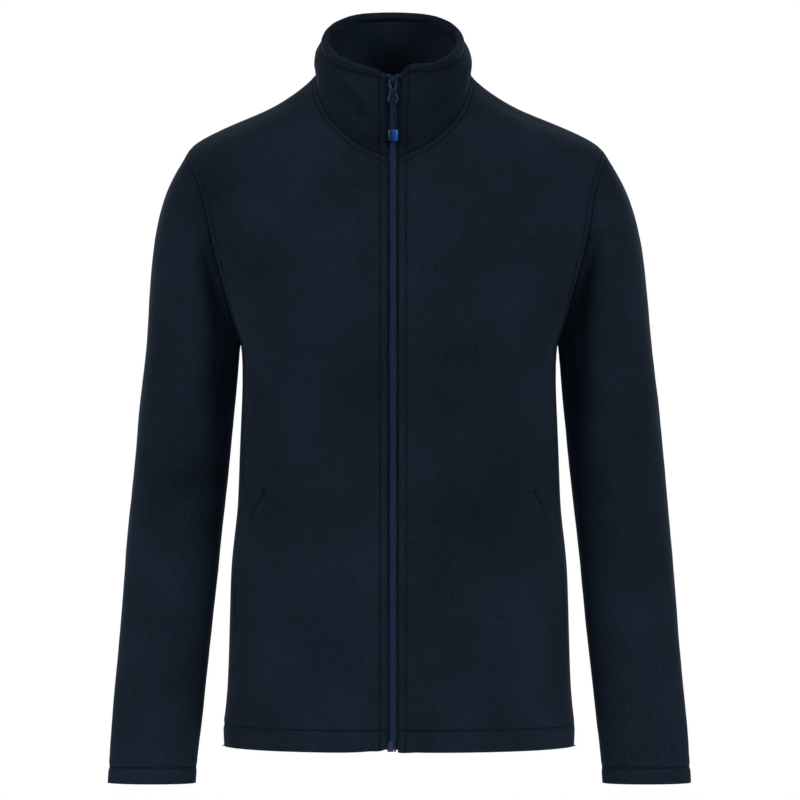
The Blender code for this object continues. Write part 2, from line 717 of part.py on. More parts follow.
def outline_plate(name, outlines, thickness, finish, location, lean):
    """A flat plate in the XZ plane from one outer outline and any number of holes."""
    mesh = bmesh.new()
    for outline in outlines:
        ring = [mesh.verts.new((x, -thickness / 2.0, z)) for x, z in outline]
        for start, end in zip(ring, ring[1:] + ring[:1]):
            mesh.edges.new((start, end))
    bmesh.ops.triangle_fill(mesh, use_beauty=True, edges=mesh.edges[:])
    faces = bmesh.ops.extrude_face_region(mesh, geom=mesh.faces[:])
    moved = [item for item in faces["geom"] if isinstance(item, bmesh.types.BMVert)]
    bmesh.ops.translate(mesh, vec=(0.0, thickness, 0.0), verts=moved)
    return place(name, mesh, finish, location, lean)


def arc(centre, radius, start, stop, steps):
    """Points of an arc in degrees, anticlockwise from +X."""
    turns = [math.radians(start + (stop - start) * k / steps) for k in range(steps + 1)]
    return [(centre[0] + radius * math.cos(turn), centre[1] + radius * math.sin(turn)) for turn in turns]


def rectangle(half, low, high):
    return [(-half, low), (half, low), (half, high), (-half, high)]


def build_slider(finish):
    """Two plates round the chain, joined by a wedge above it, and a bridge for the pull's pin."""
    face = zip_face(SLIDER_Z)
    lean = math.degrees(math.atan2(zip_face(SLIDER_Z + 4.0) - zip_face(SLIDER_Z - 4.0), 8.0))
    spot_at = (0.0, face, SLIDER_Z)
    half = SLIDER_LENGTH / 2.0
    inside = CHAIN_DEPTH - SLIDER_CLEAR
    outside = inside - SLIDER_PLATE
    under = TAPE_DEPTH + TAPE + SLIDER_CLEAR
    flange = TAPE_DEPTH - 0.35
    top = boxed("zip_slider", (-SLIDER_HALF, outside, -half), (SLIDER_HALF, inside, half), finish, spot_at,
                -lean)
    parts = []
    for side in (-1.0, 1.0):
        low, high = sorted((side * SLIDER_HALF, side * (CHAIN_HALF + 0.6)))
        parts.append(boxed("slider_flange", (low, inside - 0.5, -half + 0.4), (high, flange, half - 0.4),
                           finish, spot_at, -lean))
    parts.append(boxed("slider_wedge", (-1.4, inside - 0.5, half - 3.2), (1.4, under + 0.5, half - 0.6),
                       finish, spot_at, -lean))
    parts.append(boxed("slider_under", (-SLIDER_HALF + 0.5, under, -half + 0.7),
                       (SLIDER_HALF - 0.5, under + SLIDER_PLATE, half - 0.3), finish, spot_at, -lean))
    rise = outside - BRIDGE_HEIGHT
    for low, high in ((-BRIDGE_REACH, -BRIDGE_HOLE), (BRIDGE_HOLE, BRIDGE_REACH)):
        parts.append(boxed("slider_leg", (-BRIDGE_HALF, rise + 0.5, low), (BRIDGE_HALF, outside + 0.5, high),
                           finish, spot_at, -lean))
    parts.append(boxed("slider_bridge", (-BRIDGE_HALF, rise, -BRIDGE_REACH + 0.1),
                       (BRIDGE_HALF, rise + 0.95, BRIDGE_REACH - 0.1), finish, spot_at, -lean))
    join(top, parts)
    pivot = Vector((0.0, outside - PIVOT_HEIGHT, 0.0))
    pivot.rotate(Matrix.Rotation(math.radians(-lean), 3, "X"))
    return Vector(spot_at) + pivot


def tab_outline():
    """The pull tab hangs from its pin at the origin; its waist runs out into a ring for the cord."""
    half, ring, ring_z = 4.3, 5.9, -20.2
    left = [(-half, PIN / 2.0 + 0.4), (-half, -7.5), (-3.7, -12.0)]
    right = [(-x, z) for x, z in reversed(left)]
    return left + arc((0.0, ring_z), ring, 145.0, 395.0, 12) + right


def build_pull(pivot, metal, cord_finish, end_finish):
    lean = -PULL_LEAN
    window = rectangle(1.7, -9.0, -PIN / 2.0)
    eye = arc((0.0, -20.4), 3.3, 0.0, 330.0, 11)
    outline_plate("zip_pull_tab", [tab_outline(), window, eye], TAB_THICK, metal, pivot, lean)
    reach = -51.0
    front_y = -(TAB_THICK / 2.0 + CORD / 2.0 + 0.35)
    strand = CORD / 2.0 + 0.15
    route = [(-strand, 0.4, reach), (-strand, -0.6, -44.0), (-strand, -1.2, -36.0), (-strand, front_y, -29.0),
             (-strand, front_y, -25.6), (-0.8, -1.9, -22.8), (0.0, 0.0, -21.5), (0.8, 1.9, -22.8),
             (strand, -front_y, -25.6), (strand, -front_y, -29.0), (strand, 1.3, -36.0),
             (strand, 0.8, -44.0), (strand, 0.4, reach)]
    curve = bpy.data.curves.new("pull_cord", "CURVE")
    curve.dimensions = "3D"
    curve.bevel_depth = CORD / 2.0 * MM
    curve.bevel_resolution = 2
    curve.use_fill_caps = True
    spline = curve.splines.new("POLY")
    points = smooth_route(route, 2)
    spline.points.add(len(points) - 1)
    for target, source in zip(spline.points, points):
        target.co = (*(source * MM), 1.0)
    curve.materials.append(cord_finish)
    cord = bpy.data.objects.new("pull_cord", curve)
    cord.location = pivot * MM
    cord.rotation_euler.x = math.radians(lean)
    bpy.context.scene.collection.objects.link(cord)
    top = reach - SEAM_GAP
    boxed("pull_end", (-END_WIDTH / 2.0, -END_THICK / 2.0, top - END_HEIGHT),
          (END_WIDTH / 2.0, END_THICK / 2.0, top), end_finish, pivot, lean, bevel=1.6)


def smooth_route(points, steps):
    """A smooth curve through hand-placed points, read off at even shares."""
    points = [Vector(point) for point in points]
    ends = [2.0 * points[0] - points[1], *points, 2.0 * points[-1] - points[-2]]
    route = []
    for a, b, c, d in zip(ends, ends[1:], ends[2:], ends[3:]):
        for step in range(steps):
            t = step / steps
            route.append(0.5 * (2.0 * b + (c - a) * t + (2.0 * a - 5.0 * b + 4.0 * c - d) * t * t
                                + (3.0 * b - a - 3.0 * c + d) * t ** 3))
    return route + [points[-1]]


# ------------------------------------------------------------------ build
for old in list(bpy.data.objects):
    bpy.data.objects.remove(old, do_unlink=True)

fleece = material("navy microfleece", (0.006, 0.011, 0.022), 0.95)
jersey = material("navy pocket jersey", (0.006, 0.010, 0.018), 0.9)
woven = material("navy woven tape", (0.008, 0.018, 0.045), 0.7)
coil = material("navy nylon coil", (0.010, 0.022, 0.055), 0.45)
metal = material("painted zip metal", (0.015, 0.03, 0.07), 0.35, 0.6)
braid = material("navy braided cord", (0.02, 0.04, 0.08), 0.75)
moulded = material("blue moulded end", (0.008, 0.07, 0.30), 0.3)

ZIP_LINES = zip_line()
cloth("front_left", [sewn_front(1.0)], fleece, pocket_hole())
cloth("front_right", [sewn_front(-1.0)], fleece, pocket_hole())
cloth("back", sewn_back(), fleece)
cloth("sleeve_left", [sleeve_spots(1.0)], fleece)
cloth("sleeve_right", [sleeve_spots(-1.0)], fleece)
cloth("pocket_bag_left", [pocket_bag(1.0)], jersey)
cloth("pocket_bag_right", [pocket_bag(-1.0)], jersey)
cloth("collar_outer", [with_rolled_top(collar_spots(0.0, 0.0, WALL, FOLD), True)], fleece)
cloth("collar_inner", [with_rolled_top(collar_spots(WALL + SEAM_GAP, COLLAR_TAPE_ROOM, WALL, WALL), False)],
      fleece)

cloth("zip_tape_left", [tape_spots(1.0)], woven)
cloth("zip_tape_right", [tape_spots(-1.0)], woven)
stations = [ZIP_BOTTOM_Z, *(edge.z for edge, _ in ZIP_LINES[1.0] if ZIP_BOTTOM_Z < edge.z < CHAIN_TOP_Z),
            CHAIN_TOP_Z]
cloth("zip_chain", [zip_strip(stations, lambda z: -CHAIN_HALF, lambda z: CHAIN_HALF, CHAIN_DEPTH, CHAIN_THICK)],
      coil)
pull_pivot = build_slider(metal)
build_pull(pull_pivot, metal, braid, moulded)
box_face = zip_face(ZIP_BOTTOM_Z) + 0.6
boxed("zip_box", (-BOX_SIZE[0] / 2.0, 0.0, -BOX_SIZE[2]), (BOX_SIZE[0] / 2.0, BOX_SIZE[1], 0.0), moulded,
      (-2.7, box_face, ZIP_BOTTOM_Z - SEAM_GAP), 0.0, 0.8)
boxed("zip_pin", (-PIN_SIZE[0] / 2.0, 0.0, -PIN_SIZE[2]), (PIN_SIZE[0] / 2.0, PIN_SIZE[1], 0.0), coil,
      (2.1, box_face + 1.4, ZIP_BOTTOM_Z - SEAM_GAP), 0.0, 0.5)
print("pull pivot (mm):", [round(value, 3) for value in pull_pivot])
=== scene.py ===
# %% [markdown]
# # A microfleece jacket with a front zip
#
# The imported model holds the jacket's solids: every cut piece of cloth as a plain wall, and the zip as
# simple blocks.  This lesson dresses it.  The cloth gets its soft surface, seams and stitching, the zip
# gets its teeth, tape and cord, and at the end come the floor and the lights.

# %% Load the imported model
import bisect
import math
from collections import namedtuple

import bmesh
import bpy
from mathutils import Matrix, Vector, noise
from mathutils.bvhtree import BVHTree
from mathutils.kdtree import KDTree


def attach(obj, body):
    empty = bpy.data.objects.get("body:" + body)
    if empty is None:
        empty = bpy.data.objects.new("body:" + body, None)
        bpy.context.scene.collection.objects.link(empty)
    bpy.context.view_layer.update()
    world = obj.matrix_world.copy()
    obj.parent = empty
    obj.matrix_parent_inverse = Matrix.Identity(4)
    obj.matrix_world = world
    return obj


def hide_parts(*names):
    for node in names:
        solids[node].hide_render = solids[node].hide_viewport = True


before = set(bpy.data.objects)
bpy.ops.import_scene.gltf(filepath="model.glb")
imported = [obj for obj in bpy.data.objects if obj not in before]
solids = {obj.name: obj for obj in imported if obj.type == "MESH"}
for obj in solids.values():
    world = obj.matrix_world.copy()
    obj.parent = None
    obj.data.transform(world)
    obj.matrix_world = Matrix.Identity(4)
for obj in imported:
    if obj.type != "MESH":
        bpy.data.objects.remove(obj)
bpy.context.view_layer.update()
MM = 0.001

# %% [markdown]
# ## The camera
#
# A jacket for a catalogue is taken from the front, a little above its middle and from far away, so that
# its sides stay parallel.  An orthographic camera gives the same look without a very long lens.

# %% Place the camera
VIEW_WIDTH = 0.84           # metres across the picture
VIEW_CENTRE = Vector((0.00735, 0.0, -0.3402))
VIEW_RISE = 4.0             # degrees above level
CAMERA_AWAY = 6.0


def put(name, data):
    """Makes an object at the origin and puts it into the scene."""
    made = bpy.data.objects.new(name, data)
    bpy.context.scene.collection.objects.link(made)
    return made


camera_data = bpy.data.cameras.new("camera")
camera_data.type = "ORTHO"
camera_data.ortho_scale = VIEW_WIDTH
camera = put("camera", camera_data)
toward_camera = Vector((0.0, -math.cos(math.radians(VIEW_RISE)), math.sin(math.radians(VIEW_RISE))))
camera.location = VIEW_CENTRE + toward_camera * CAMERA_AWAY
camera.rotation_euler = toward_camera.to_track_quat("Z", "Y").to_euler()
bpy.context.scene.camera = camera
print("camera stands at", [round(v, 3) for v in camera.location])

# %% [markdown]
# ## Writing shader maths as plain expressions
#
# A material is a graph of nodes.  Clicking fifty Math nodes together is slow and hard to read, so a small
# class wraps one output socket and gives it +, - and *.  A finish then reads like a formula.

# %% A value in a material, and a material
def maths(operation, turned=False):
    """A method that puts one Math node after a value; turned swaps the two numbers that go in."""
    def method(value, other=0.0):
        first, second = (other, value) if turned else (value, other)
        return value.finish.node("ShaderNodeMath", {"operation": operation}, {0: first, 1: second})
    return method


class Value:
    """One output socket of a material's node, or a sum worked out from such sockets."""

    def __init__(self, finish, socket):
        self.finish, self.socket = finish, socket

    __add__, __sub__, __mul__ = maths("ADD"), maths("SUBTRACT"), maths("MULTIPLY")
    __rsub__, __abs__ = maths("SUBTRACT", turned=True), maths("ABSOLUTE")
    sine, at_most, at_least = maths("SINE"), maths("MINIMUM"), maths("MAXIMUM")

    def fading(self, start, stop):
        """1 where the value is start, falling smoothly to 0 where it is stop."""
        ends = {"From Min": start, "From Max": stop, "To Min": 1.0, "To Max": 0.0}
        return self.finish.node("ShaderNodeMapRange", {"interpolation_type": "SMOOTHSTEP", "clamp": True},
                                {"Value": self, **ends})


class Finish:
    """A material; node() adds one node to it and returns its output as a Value."""

    def __init__(self, name, **fixed):
        self.material = bpy.data.materials.new(name)
        self.material.use_nodes = True
        self.nodes = self.material.node_tree.nodes
        self.shader = self.nodes["Principled BSDF"]
        for socket, value in fixed.items():
            self.shader.inputs[socket.replace("_", " ")].default_value = value

    def node(self, kind, settings=None, values=None, output=0):
        made = self.nodes.new(kind)
        for name, value in (settings or {}).items():
            setattr(made, name, value)
        for name, value in (values or {}).items():
            self.wire(made.inputs[name], value)
        return Value(self, made.outputs[output])

    def wire(self, socket, value):
        if isinstance(value, Value):
            self.material.node_tree.links.new(value.socket, socket)
        else:
            socket.default_value = value

    def set(self, **sockets):
        for name, value in sockets.items():
            self.wire(self.shader.inputs[name.replace("_", " ")], value)

    def place(self):
        return self.node("ShaderNodeTexCoord", output=3)

    def across_deep_up(self):
        """The three Object coordinates as separate values: x, y and z."""
        parts = self.node("ShaderNodeSeparateXYZ", values={0: self.place()}).socket.node
        return [Value(self, parts.outputs[k]) for k in range(3)]

    def attribute(self, name):
        return self.node("ShaderNodeAttribute", {"attribute_name": name}, output=2)

    def noise(self, scale, detail=2.0, stretch=(1.0, 1.0, 1.0), roughness=0.5, shift=0.0):
        spot = self.node("ShaderNodeMapping", values={0: self.place(), "Scale": stretch,
                                                      "Location": (shift, shift, shift)})
        return self.node("ShaderNodeTexNoise", values={"Vector": spot, "Scale": scale, "Detail": detail,
                                                       "Roughness": roughness})

    def mixed(self, share, first, second):
        made = self.nodes.new("ShaderNodeMix")
        made.data_type = "RGBA"
        for index, value in ((0, share), (6, first), (7, second)):
            if not isinstance(value, (Value, float)):
                value = (*value, 1.0)
            self.wire(made.inputs[index], value)
        return Value(self, made.outputs[2])

    def bump(self, height, distance, strength=1.0, normal=None):
        values = {"Height": height, "Distance": distance, "Strength": strength}
        if normal is not None:
            values["Normal"] = normal
        return self.node("ShaderNodeBump", values=values)


print("shader helpers ready")

# %% [markdown]
# ## The microfleece
#
# Microfleece is a knit whose face is brushed into a short, dense nap.  Close up it is a fine pebble of
# fibre clumps with faint courses across the cloth.  The nap makes it very matt, and it catches a pale rim
# of light where one looks along the surface: that is what sheen is for.  Rows of stitches press a narrow
# groove into the pile: the groove dents the surface through the bump, and its colour is darkened as
# painted shade.  The collar's colour is darker all over, also a painted shade.  Each piece carries the
# distance to its seams as attributes, so the grooves follow the garment and not the screen.

# %% Sizes of the sewing
STITCH_AWAY = 6.0 * MM          # topstitching beside the armholes and the neckline
ZIP_EDGE = 6.35 * MM            # folded front edge, from the middle of the zip
ZIP_STITCH = 7.6 * MM           # topstitching, from that folded edge
HEM_Z = -0.7035
HEM_BAND = 23.0 * MM
CUFF_Z = -0.741
CUFF_BAND = 17.0 * MM
RIM_STITCH = 9.0 * MM           # below the collar's rolled top
FADES_BELOW = -0.455            # a pocket mouth's groove dies out below this height


# %% The fleece finish
FLEECE_DEEP = (0.0028, 0.0052, 0.0090)
FLEECE_LIT = (0.0074, 0.0134, 0.0232)


def fleece_finish(name, lines, shade=1.0):
    """Navy microfleece; lines lists (maker of a distance value, half width, depth) of grooves that dent the
    bump and are darkened as painted shade; shade below 1 darkens all the colour, a painted shade.
    """
    finish = Finish(name, Roughness=1.0, Specular_IOR_Level=0.05, Sheen_Weight=0.06, Sheen_Roughness=0.3,
                    Sheen_Tint=(0.35, 0.62, 1.0, 1.0))
    clumps = finish.noise(540.0, 3.0, (1.0, 1.0, 1.25), 0.6)
    fibres = finish.noise(1500.0, 2.0, (1.0, 1.0, 1.6), 0.6, 3.1)
    courses = finish.noise(330.0, 2.0, (0.5, 0.5, 2.0), 0.55, 7.7)
    patches = finish.noise(12.0, 3.0, (1.0, 1.0, 0.8), 0.5, 1.3)
    tone = clumps * 2.1 + fibres * 0.9 + courses * 0.5 + patches * 1.3 - 1.9
    groove_dent_and_painted_shade = None
    for away, half, depth in lines:
        groove = away(finish).fading(0.0, half) * depth
        groove_dent_and_painted_shade = groove if groove_dent_and_painted_shade is None else groove_dent_and_painted_shade.at_least(groove)
    # the grooves darken the tone: painted shade in them, while the bump below gives their real dent
    tone = (tone - groove_dent_and_painted_shade * 0.55).at_least(0.0).at_most(1.0)
    deep, lit = (tuple(shade * part for part in color) for color in (FLEECE_DEEP, FLEECE_LIT))
    finish.set(Base_Color=finish.mixed(tone, deep, lit))
    pile = finish.bump(clumps + fibres * 0.4 + courses * 0.35, 0.55 * MM, 0.7)
    finish.set(Normal=finish.bump(0.0 - groove_dent_and_painted_shade, 0.9 * MM, 1.0, pile))
    return finish.material


def beside(attribute, away):
    """Distance from a stitched line that runs a fixed way from an edge."""
    return lambda finish: abs(finish.attribute(attribute) - away)


def level(height):
    return lambda finish: abs(finish.across_deep_up()[2] - height)


def top_of_mouth(finish):
    """Distance from a pocket mouth, growing down its length, so that its groove and its painted shade die
    out.
    """
    below = (FADES_BELOW - finish.across_deep_up()[2]).at_least(0.0)
    return finish.attribute("mouth") + below * 0.12


# each groove below dents the bump and darkens the fleece's colour: painted shade in the groove
seam_valley = (beside("sewn", 0.0), 2.2 * MM, 0.8)
zip_groove = (beside("from_zip", ZIP_STITCH), 1.5 * MM, 0.8)
stitched_groove = (beside("topstitched", STITCH_AWAY), 1.5 * MM, 0.7)
hem_groove = (level(HEM_Z + HEM_BAND), 1.6 * MM, 0.75)
front_fleece = fleece_finish("fleece front", [
    (top_of_mouth, 4.2 * MM, 0.85), seam_valley, zip_groove, stitched_groove, hem_groove])
back_fleece = fleece_finish("fleece back", [seam_valley, stitched_groove, hem_groove])
sleeve_fleece = fleece_finish("fleece sleeve", [seam_valley, (level(CUFF_Z + CUFF_BAND), 1.5 * MM, 0.8)])
# the collar's colour is scaled down to 0.8: painted shade over the whole collar
collar_fleece = fleece_finish("fleece collar", [
    seam_valley, zip_groove, (beside("from_top", RIM_STITCH), 1.6 * MM, 1.0)], 0.8)
print("fleece finishes:", [m.name for m in bpy.data.materials if m.name.startswith("fleece")])

# %% [markdown]
# ## Lifting the cloth off the pattern solids
#
# Each solid is a closed wall, so it has an outer side, an inner side and a narrow rim.  Growing from one
# face over edges that bend little picks out one side only, because the rim stands square to it.  What is
# left is a coarse net of quads in exactly the right place, which is the best start for a smooth surface.


# %% Take one side of a solid
MERGE = 0.02 * MM               # corners this close are one
SAME_SIDE = 0.55                # faces side by side are on one side if their normals agree this much
LEVEL_WITH = 0.05               # the first face is looked for this near the heart's height


def mesh_of(net, name):
    """Turns a net into a mesh, and lets the net go."""
    mesh = bpy.data.meshes.new(name)
    net.to_mesh(mesh)
    net.free()
    return mesh


def one_side(name, heart, outward=1.0):
    """The side of a cloth wall that faces away from the heart of its hollow, or towards it."""
    net = bmesh.new()
    net.from_mesh(solids[name].data)
    bmesh.ops.remove_doubles(net, verts=net.verts, dist=MERGE)
    bmesh.ops.join_triangles(net, faces=net.faces, angle_face_threshold=math.radians(60.0),
                             angle_shape_threshold=math.radians(75.0))
    heart = Vector(heart)

    def facing(face):
        away = face.calc_center_median() - heart
        if abs(away.z) > LEVEL_WITH:
            return -1.0
        away.z = 0.0
        return outward * face.normal.dot(away.normalized())

    grown = {max(net.faces, key=facing)}
    waiting = list(grown)
    while waiting:
        face = waiting.pop()
        for edge in face.edges:
            for other in edge.link_faces:
                if other not in grown and other.normal.dot(face.normal) > SAME_SIDE:
                    grown.add(other)
                    waiting.append(other)
    bmesh.ops.delete(net, geom=[face for face in net.faces if face not in grown], context="FACES")
    return net


BODY_HEART = (0.0065, 0.0, -0.42)
COLLAR_HEART = (0.0, -0.01, 0.0)
HEARTS = {"front_left": BODY_HEART, "front_right": BODY_HEART, "back": BODY_HEART,
          "sleeve_left": (0.242, -0.008, -0.52), "sleeve_right": (-0.229, -0.008, -0.52)}
nets = {name: one_side(name, heart) for name, heart in HEARTS.items()}
nets["collar"] = one_side("collar_outer", COLLAR_HEART)
for name, net in nets.items():
    print(name, "quads", sum(len(f.verts) == 4 for f in net.faces), "of", len(net.faces))

# %% [markdown]
# ## Folding the collar
#
# A stand collar like this is one strip folded over at its top and stitched 9 mm below the fold, which
# leaves a plump rolled edge.  The outer side of one solid and the neck side of the other are bridged
# along their top edges, so that the cloth really runs over the top.


# %% Bridge the two sides of the collar
NEAR_ZIP = 8.0 * MM
ABOVE_NECKLINE = 6.0 * MM


def is_top(edge):
    """True for a collar edge along the top: not at the neckline and not at the zip."""
    low, high = edge.verts
    at_zip = all(abs(vert.co.x) < NEAR_ZIP and vert.co.y < 0.0 for vert in edge.verts)
    return edge.is_boundary and not at_zip and (low.co.z + high.co.z) / 2.0 > ABOVE_NECKLINE


collar_net = nets["collar"]
inner_mesh = mesh_of(one_side("collar_inner", COLLAR_HEART, -1.0), "collar inside")
collar_net.from_mesh(inner_mesh)
bpy.data.meshes.remove(inner_mesh)
top_edges = [edge for edge in collar_net.edges if is_top(edge)]
bridged = bmesh.ops.bridge_loops(collar_net, edges=top_edges)
RIM_EDGES = [[vert.co.copy() for vert in edge.verts] for face in bridged["faces"] for edge in face.edges
             if edge.calc_length() > 5.0 * MM]
print("collar top edges", len(top_edges), "bridged faces", len(bridged["faces"]))

# %% [markdown]
# ## Keeping the corners of the pattern pieces
#
# Subdividing a net rounds its outline as well.  Where two outlines share a seam they round alike, but a
# pattern piece also has corners, at the underarm, the shoulder tip and the neck point.  A vertex crease
# pins those corners, on every piece that touches them, so the seams still meet.

# %% Pin the corners and smooth the nets
CORNER_TURN = math.radians(26.0)
CORNER_REACH = 1.6 * MM


def tree_of(points):
    tree = KDTree(len(points))
    for index, point in enumerate(points):
        tree.insert(point, index)
    tree.balance()
    return tree


def outline_corners(net):
    corners = []
    for vert in net.verts:
        along = [edge for edge in vert.link_edges if edge.is_boundary]
        if len(along) == 2:
            first, second = (edge.other_vert(vert).co - vert.co for edge in along)
            if first.length > 0.0 and second.length > 0.0 and math.pi - first.angle(second) > CORNER_TURN:
                corners.append(vert.co.copy())
    return corners


corners = [corner for net in nets.values() for corner in outline_corners(net)]
corner_tree = tree_of(corners)


def worked_out(holder, name):
    """The mesh that an object shows, kept on its own while the object goes."""
    mesh = bpy.data.meshes.new_from_object(holder.evaluated_get(bpy.context.evaluated_depsgraph_get()))
    bpy.data.objects.remove(holder)
    mesh.name = name
    return mesh


def smoothed(name, net, levels=3):
    """A finer mesh through the net, with its pinned corners."""
    crease = net.verts.layers.float.get("crease_vert") or net.verts.layers.float.new("crease_vert")
    for vert in net.verts:
        if vert.is_boundary and corner_tree.find(vert.co)[2] < CORNER_REACH:
            vert[crease] = 1.0
    coarse = mesh_of(net, name + " net")
    holder = put(name + " net", coarse)
    rounding = holder.modifiers.new("smooth", "SUBSURF")
    rounding.levels = rounding.render_levels = levels
    fine = worked_out(holder, name)
    bpy.data.meshes.remove(coarse)
    return fine


cloths = {name: smoothed(name, net) for name, net in nets.items()}
print("fine meshes:", {name: len(mesh.polygons) for name, mesh in cloths.items()}, "corners", len(corners))

# %% [markdown]
# ## Telling each point how far it is from the sewing
#
# A seam is where the outline of one piece lies against another solid.  The fine outline is sorted by the
# solid that it touches, and every point stores its distance to each sort of outline.  The material presses
# its grooves from these numbers and darkens their colour as painted shade, and the modelling below sinks
# the cloth a little at the seams.


# %% Measure distances to seams
TOUCH = 2.6 * MM
FAR = 1.0


def surface_of(mesh):
    """A search tree of a mesh's faces, which finds the nearest point on them."""
    return BVHTree.FromPolygons([vert.co for vert in mesh.vertices],
                                [face.vertices for face in mesh.polygons])


walls = {name: surface_of(solid.data) for name, solid in solids.items()}


def free_edges(mesh):
    """The edges that only one face uses, as pairs of vertex numbers."""
    uses = {}
    for polygon in mesh.polygons:
        for key in polygon.edge_keys:
            uses[key] = uses.get(key, 0) + 1
    return [key for key, count in uses.items() if count == 1]


def outline_points(mesh):
    """Points along the free outline of a mesh, vertices and edge middles."""
    points = []
    for a, b in free_edges(mesh):
        start, end = mesh.vertices[a].co, mesh.vertices[b].co
        points += [start.copy(), start.lerp(end, 0.5), end.copy()]
    return points


def touching(points, names):
    return [p for p in points if any(walls[n].find_nearest(p, TOUCH)[0] is not None for n in names)]


def store_distance(mesh, attribute, points):
    """Keeps each vertex's distance to the nearest of the points, and returns the distances."""
    values = [FAR] * len(mesh.vertices)
    if points:
        tree = tree_of(points)
        values = [tree.find(vert.co)[2] for vert in mesh.vertices]
    layer = mesh.attributes.new(attribute, "FLOAT", "POINT")
    layer.data.foreach_set("value", values)
    return values


def beside_zip(point):
    return abs(point.x) < ZIP_EDGE + 0.5 * MM and point.y < 0.0


BODY = ["front_left", "front_right", "back"]
SLEEVES = ["sleeve_left", "sleeve_right"]
SEWN_TO = {
    "front_left": (["back"], ["sleeve_left", "collar_outer"]),
    "front_right": (["back"], ["sleeve_right", "collar_outer"]),
    "back": (["front_left", "front_right"], ["sleeve_left", "sleeve_right", "collar_outer"]),
    "sleeve_left": (BODY, []), "sleeve_right": (BODY, []), "collar": (BODY, []),
}
MOUTH_LOW, MOUTH_HIGH = -0.545, -0.425


def beside_mouth(point):
    """True between zip and side seam, at the height of the pocket mouths."""
    return abs(point.x) > 50.0 * MM and point.y < -8.0 * MM and MOUTH_LOW < point.z < MOUTH_HIGH


sewing = {}
for name, (plain, topstitched) in SEWN_TO.items():
    mesh = cloths[name]
    outline = outline_points(mesh)
    mouth = [p for p in outline if name.startswith("front") and beside_mouth(p)]
    sewing[name] = {
        "sewn": store_distance(mesh, "sewn", touching(outline, plain + topstitched)),
        "topstitched": store_distance(mesh, "topstitched", touching(outline, topstitched)),
        "mouth": store_distance(mesh, "mouth", mouth),
        "from_zip": store_distance(mesh, "from_zip", [p for p in outline if beside_zip(p)]),
    }
rim_samples = [start.lerp(end, k / 80.0) for start, end in RIM_EDGES for k in range(81)]
sewing["collar"]["from_top"] = store_distance(cloths["collar"], "from_top", rim_samples)
print("seams measured on", len(sewing), "pieces")

# %% [markdown]
# ## Softening the surface
#
# Fleece has body, so a worn jacket shows few folds: slack diagonals at the underarms and elbows, a dent
# across the collar, a slight roll in the turned hems.  Each fold is one row of a table, with its half width,
# its height and the path that its bottom takes.  They are laid on both sides of the garment, unevenly, as
# they fall in real cloth.

# %% The folds
CREASES = {
    # half width, height (minus sinks), then the path of its bottom as (x, y, z); all in mm
    "front_right": (
        (15, -2.2, (-150, -80, -250), (-120, -110, -300), (-85, -118, -372)),
        (13, -1.6, (-158, -62, -300), (-135, -96, -352), (-112, -110, -420)),
        (18, -1.4, (-140, -100, -120), (-95, -112, -150), (-60, -118, -215)),
        (20, -1.4, (-60, -121, -600), (-100, -112, -575), (-140, -85, -560)),
        (5, -2.4, (-136, -90, -429), (-137, -90, -433), (-138, -90, -437)),
    ),
    "front_left": (
        (16, -2.0, (163, -80, -250), (130, -110, -305), (92, -118, -365)),
        (12, -1.5, (170, -60, -310), (148, -94, -368), (120, -110, -428)),
        (18, -1.3, (150, -100, -118), (105, -112, -152), (70, -118, -205)),
        (20, -1.5, (66, -121, -610), (110, -112, -582), (150, -85, -566)),
        (5, -2.2, (146, -90, -429), (147, -90, -433), (148, -90, -437)),
    ),
    "back": (
        (18, -2.6, (-150, 80, -255), (-105, 110, -320), (-50, 118, -360)),
        (17, -2.4, (163, 80, -260), (115, 110, -330), (70, 118, -385)),
        (22, -2.2, (-120, 100, -450), (-20, 110, -478), (95, 108, -462)),
        (20, -1.6, (-95, 106, -515), (20, 110, -532), (120, 98, -515)),
        (20, -1.5, (-90, 100, -70), (-60, 115, -130), (-50, 124, -190)),
        (20, -1.5, (100, 100, -68), (75, 115, -125), (58, 124, -180)),
    ),
    "sleeve_left": (
        (14, -2.4, (205, -50, -330), (230, -62, -365), (262, -45, -395)),
        (13, -2.0, (195, -30, -415), (222, -58, -442), (262, -52, -455)),
        (12, -1.6, (205, -52, -480), (240, -60, -497), (278, -38, -510)),
        (13, -1.2, (214, -40, -600), (248, -60, -612), (288, -40, -628)),
        (15, -2.4, (210, 35, -440), (240, 56, -470), (278, 40, -480)),
        (14, -2.0, (206, 40, -370), (232, 58, -395), (268, 44, -400)),
    ),
    "sleeve_right": (
        (14, -2.3, (-192, -50, -335), (-217, -62, -372), (-250, -45, -405)),
        (13, -1.9, (-184, -30, -405), (-210, -58, -434), (-250, -52, -450)),
        (12, -1.6, (-195, -52, -486), (-228, -60, -500), (-266, -38, -520)),
        (13, -1.2, (-205, -40, -590), (-235, -60, -606), (-275, -40, -618)),
        (15, -2.4, (-198, 35, -448), (-228, 56, -476), (-266, 40, -488)),
        (14, -2.0, (-194, 40, -378), (-220, 58, -402), (-256, 44, -410)),
    ),
    "collar": (
        (5.5, -4.2, (-62, -52, 2), (-46, -78, -16), (-30, -92, -38)),
        (6.5, 3.0, (-66, -50, -18), (-47, -78, -38), (-23, -95, -59)),
        (8, -1.0, (68, -48, 0), (56, -74, -24), (42, -86, -44)),
    ),
}

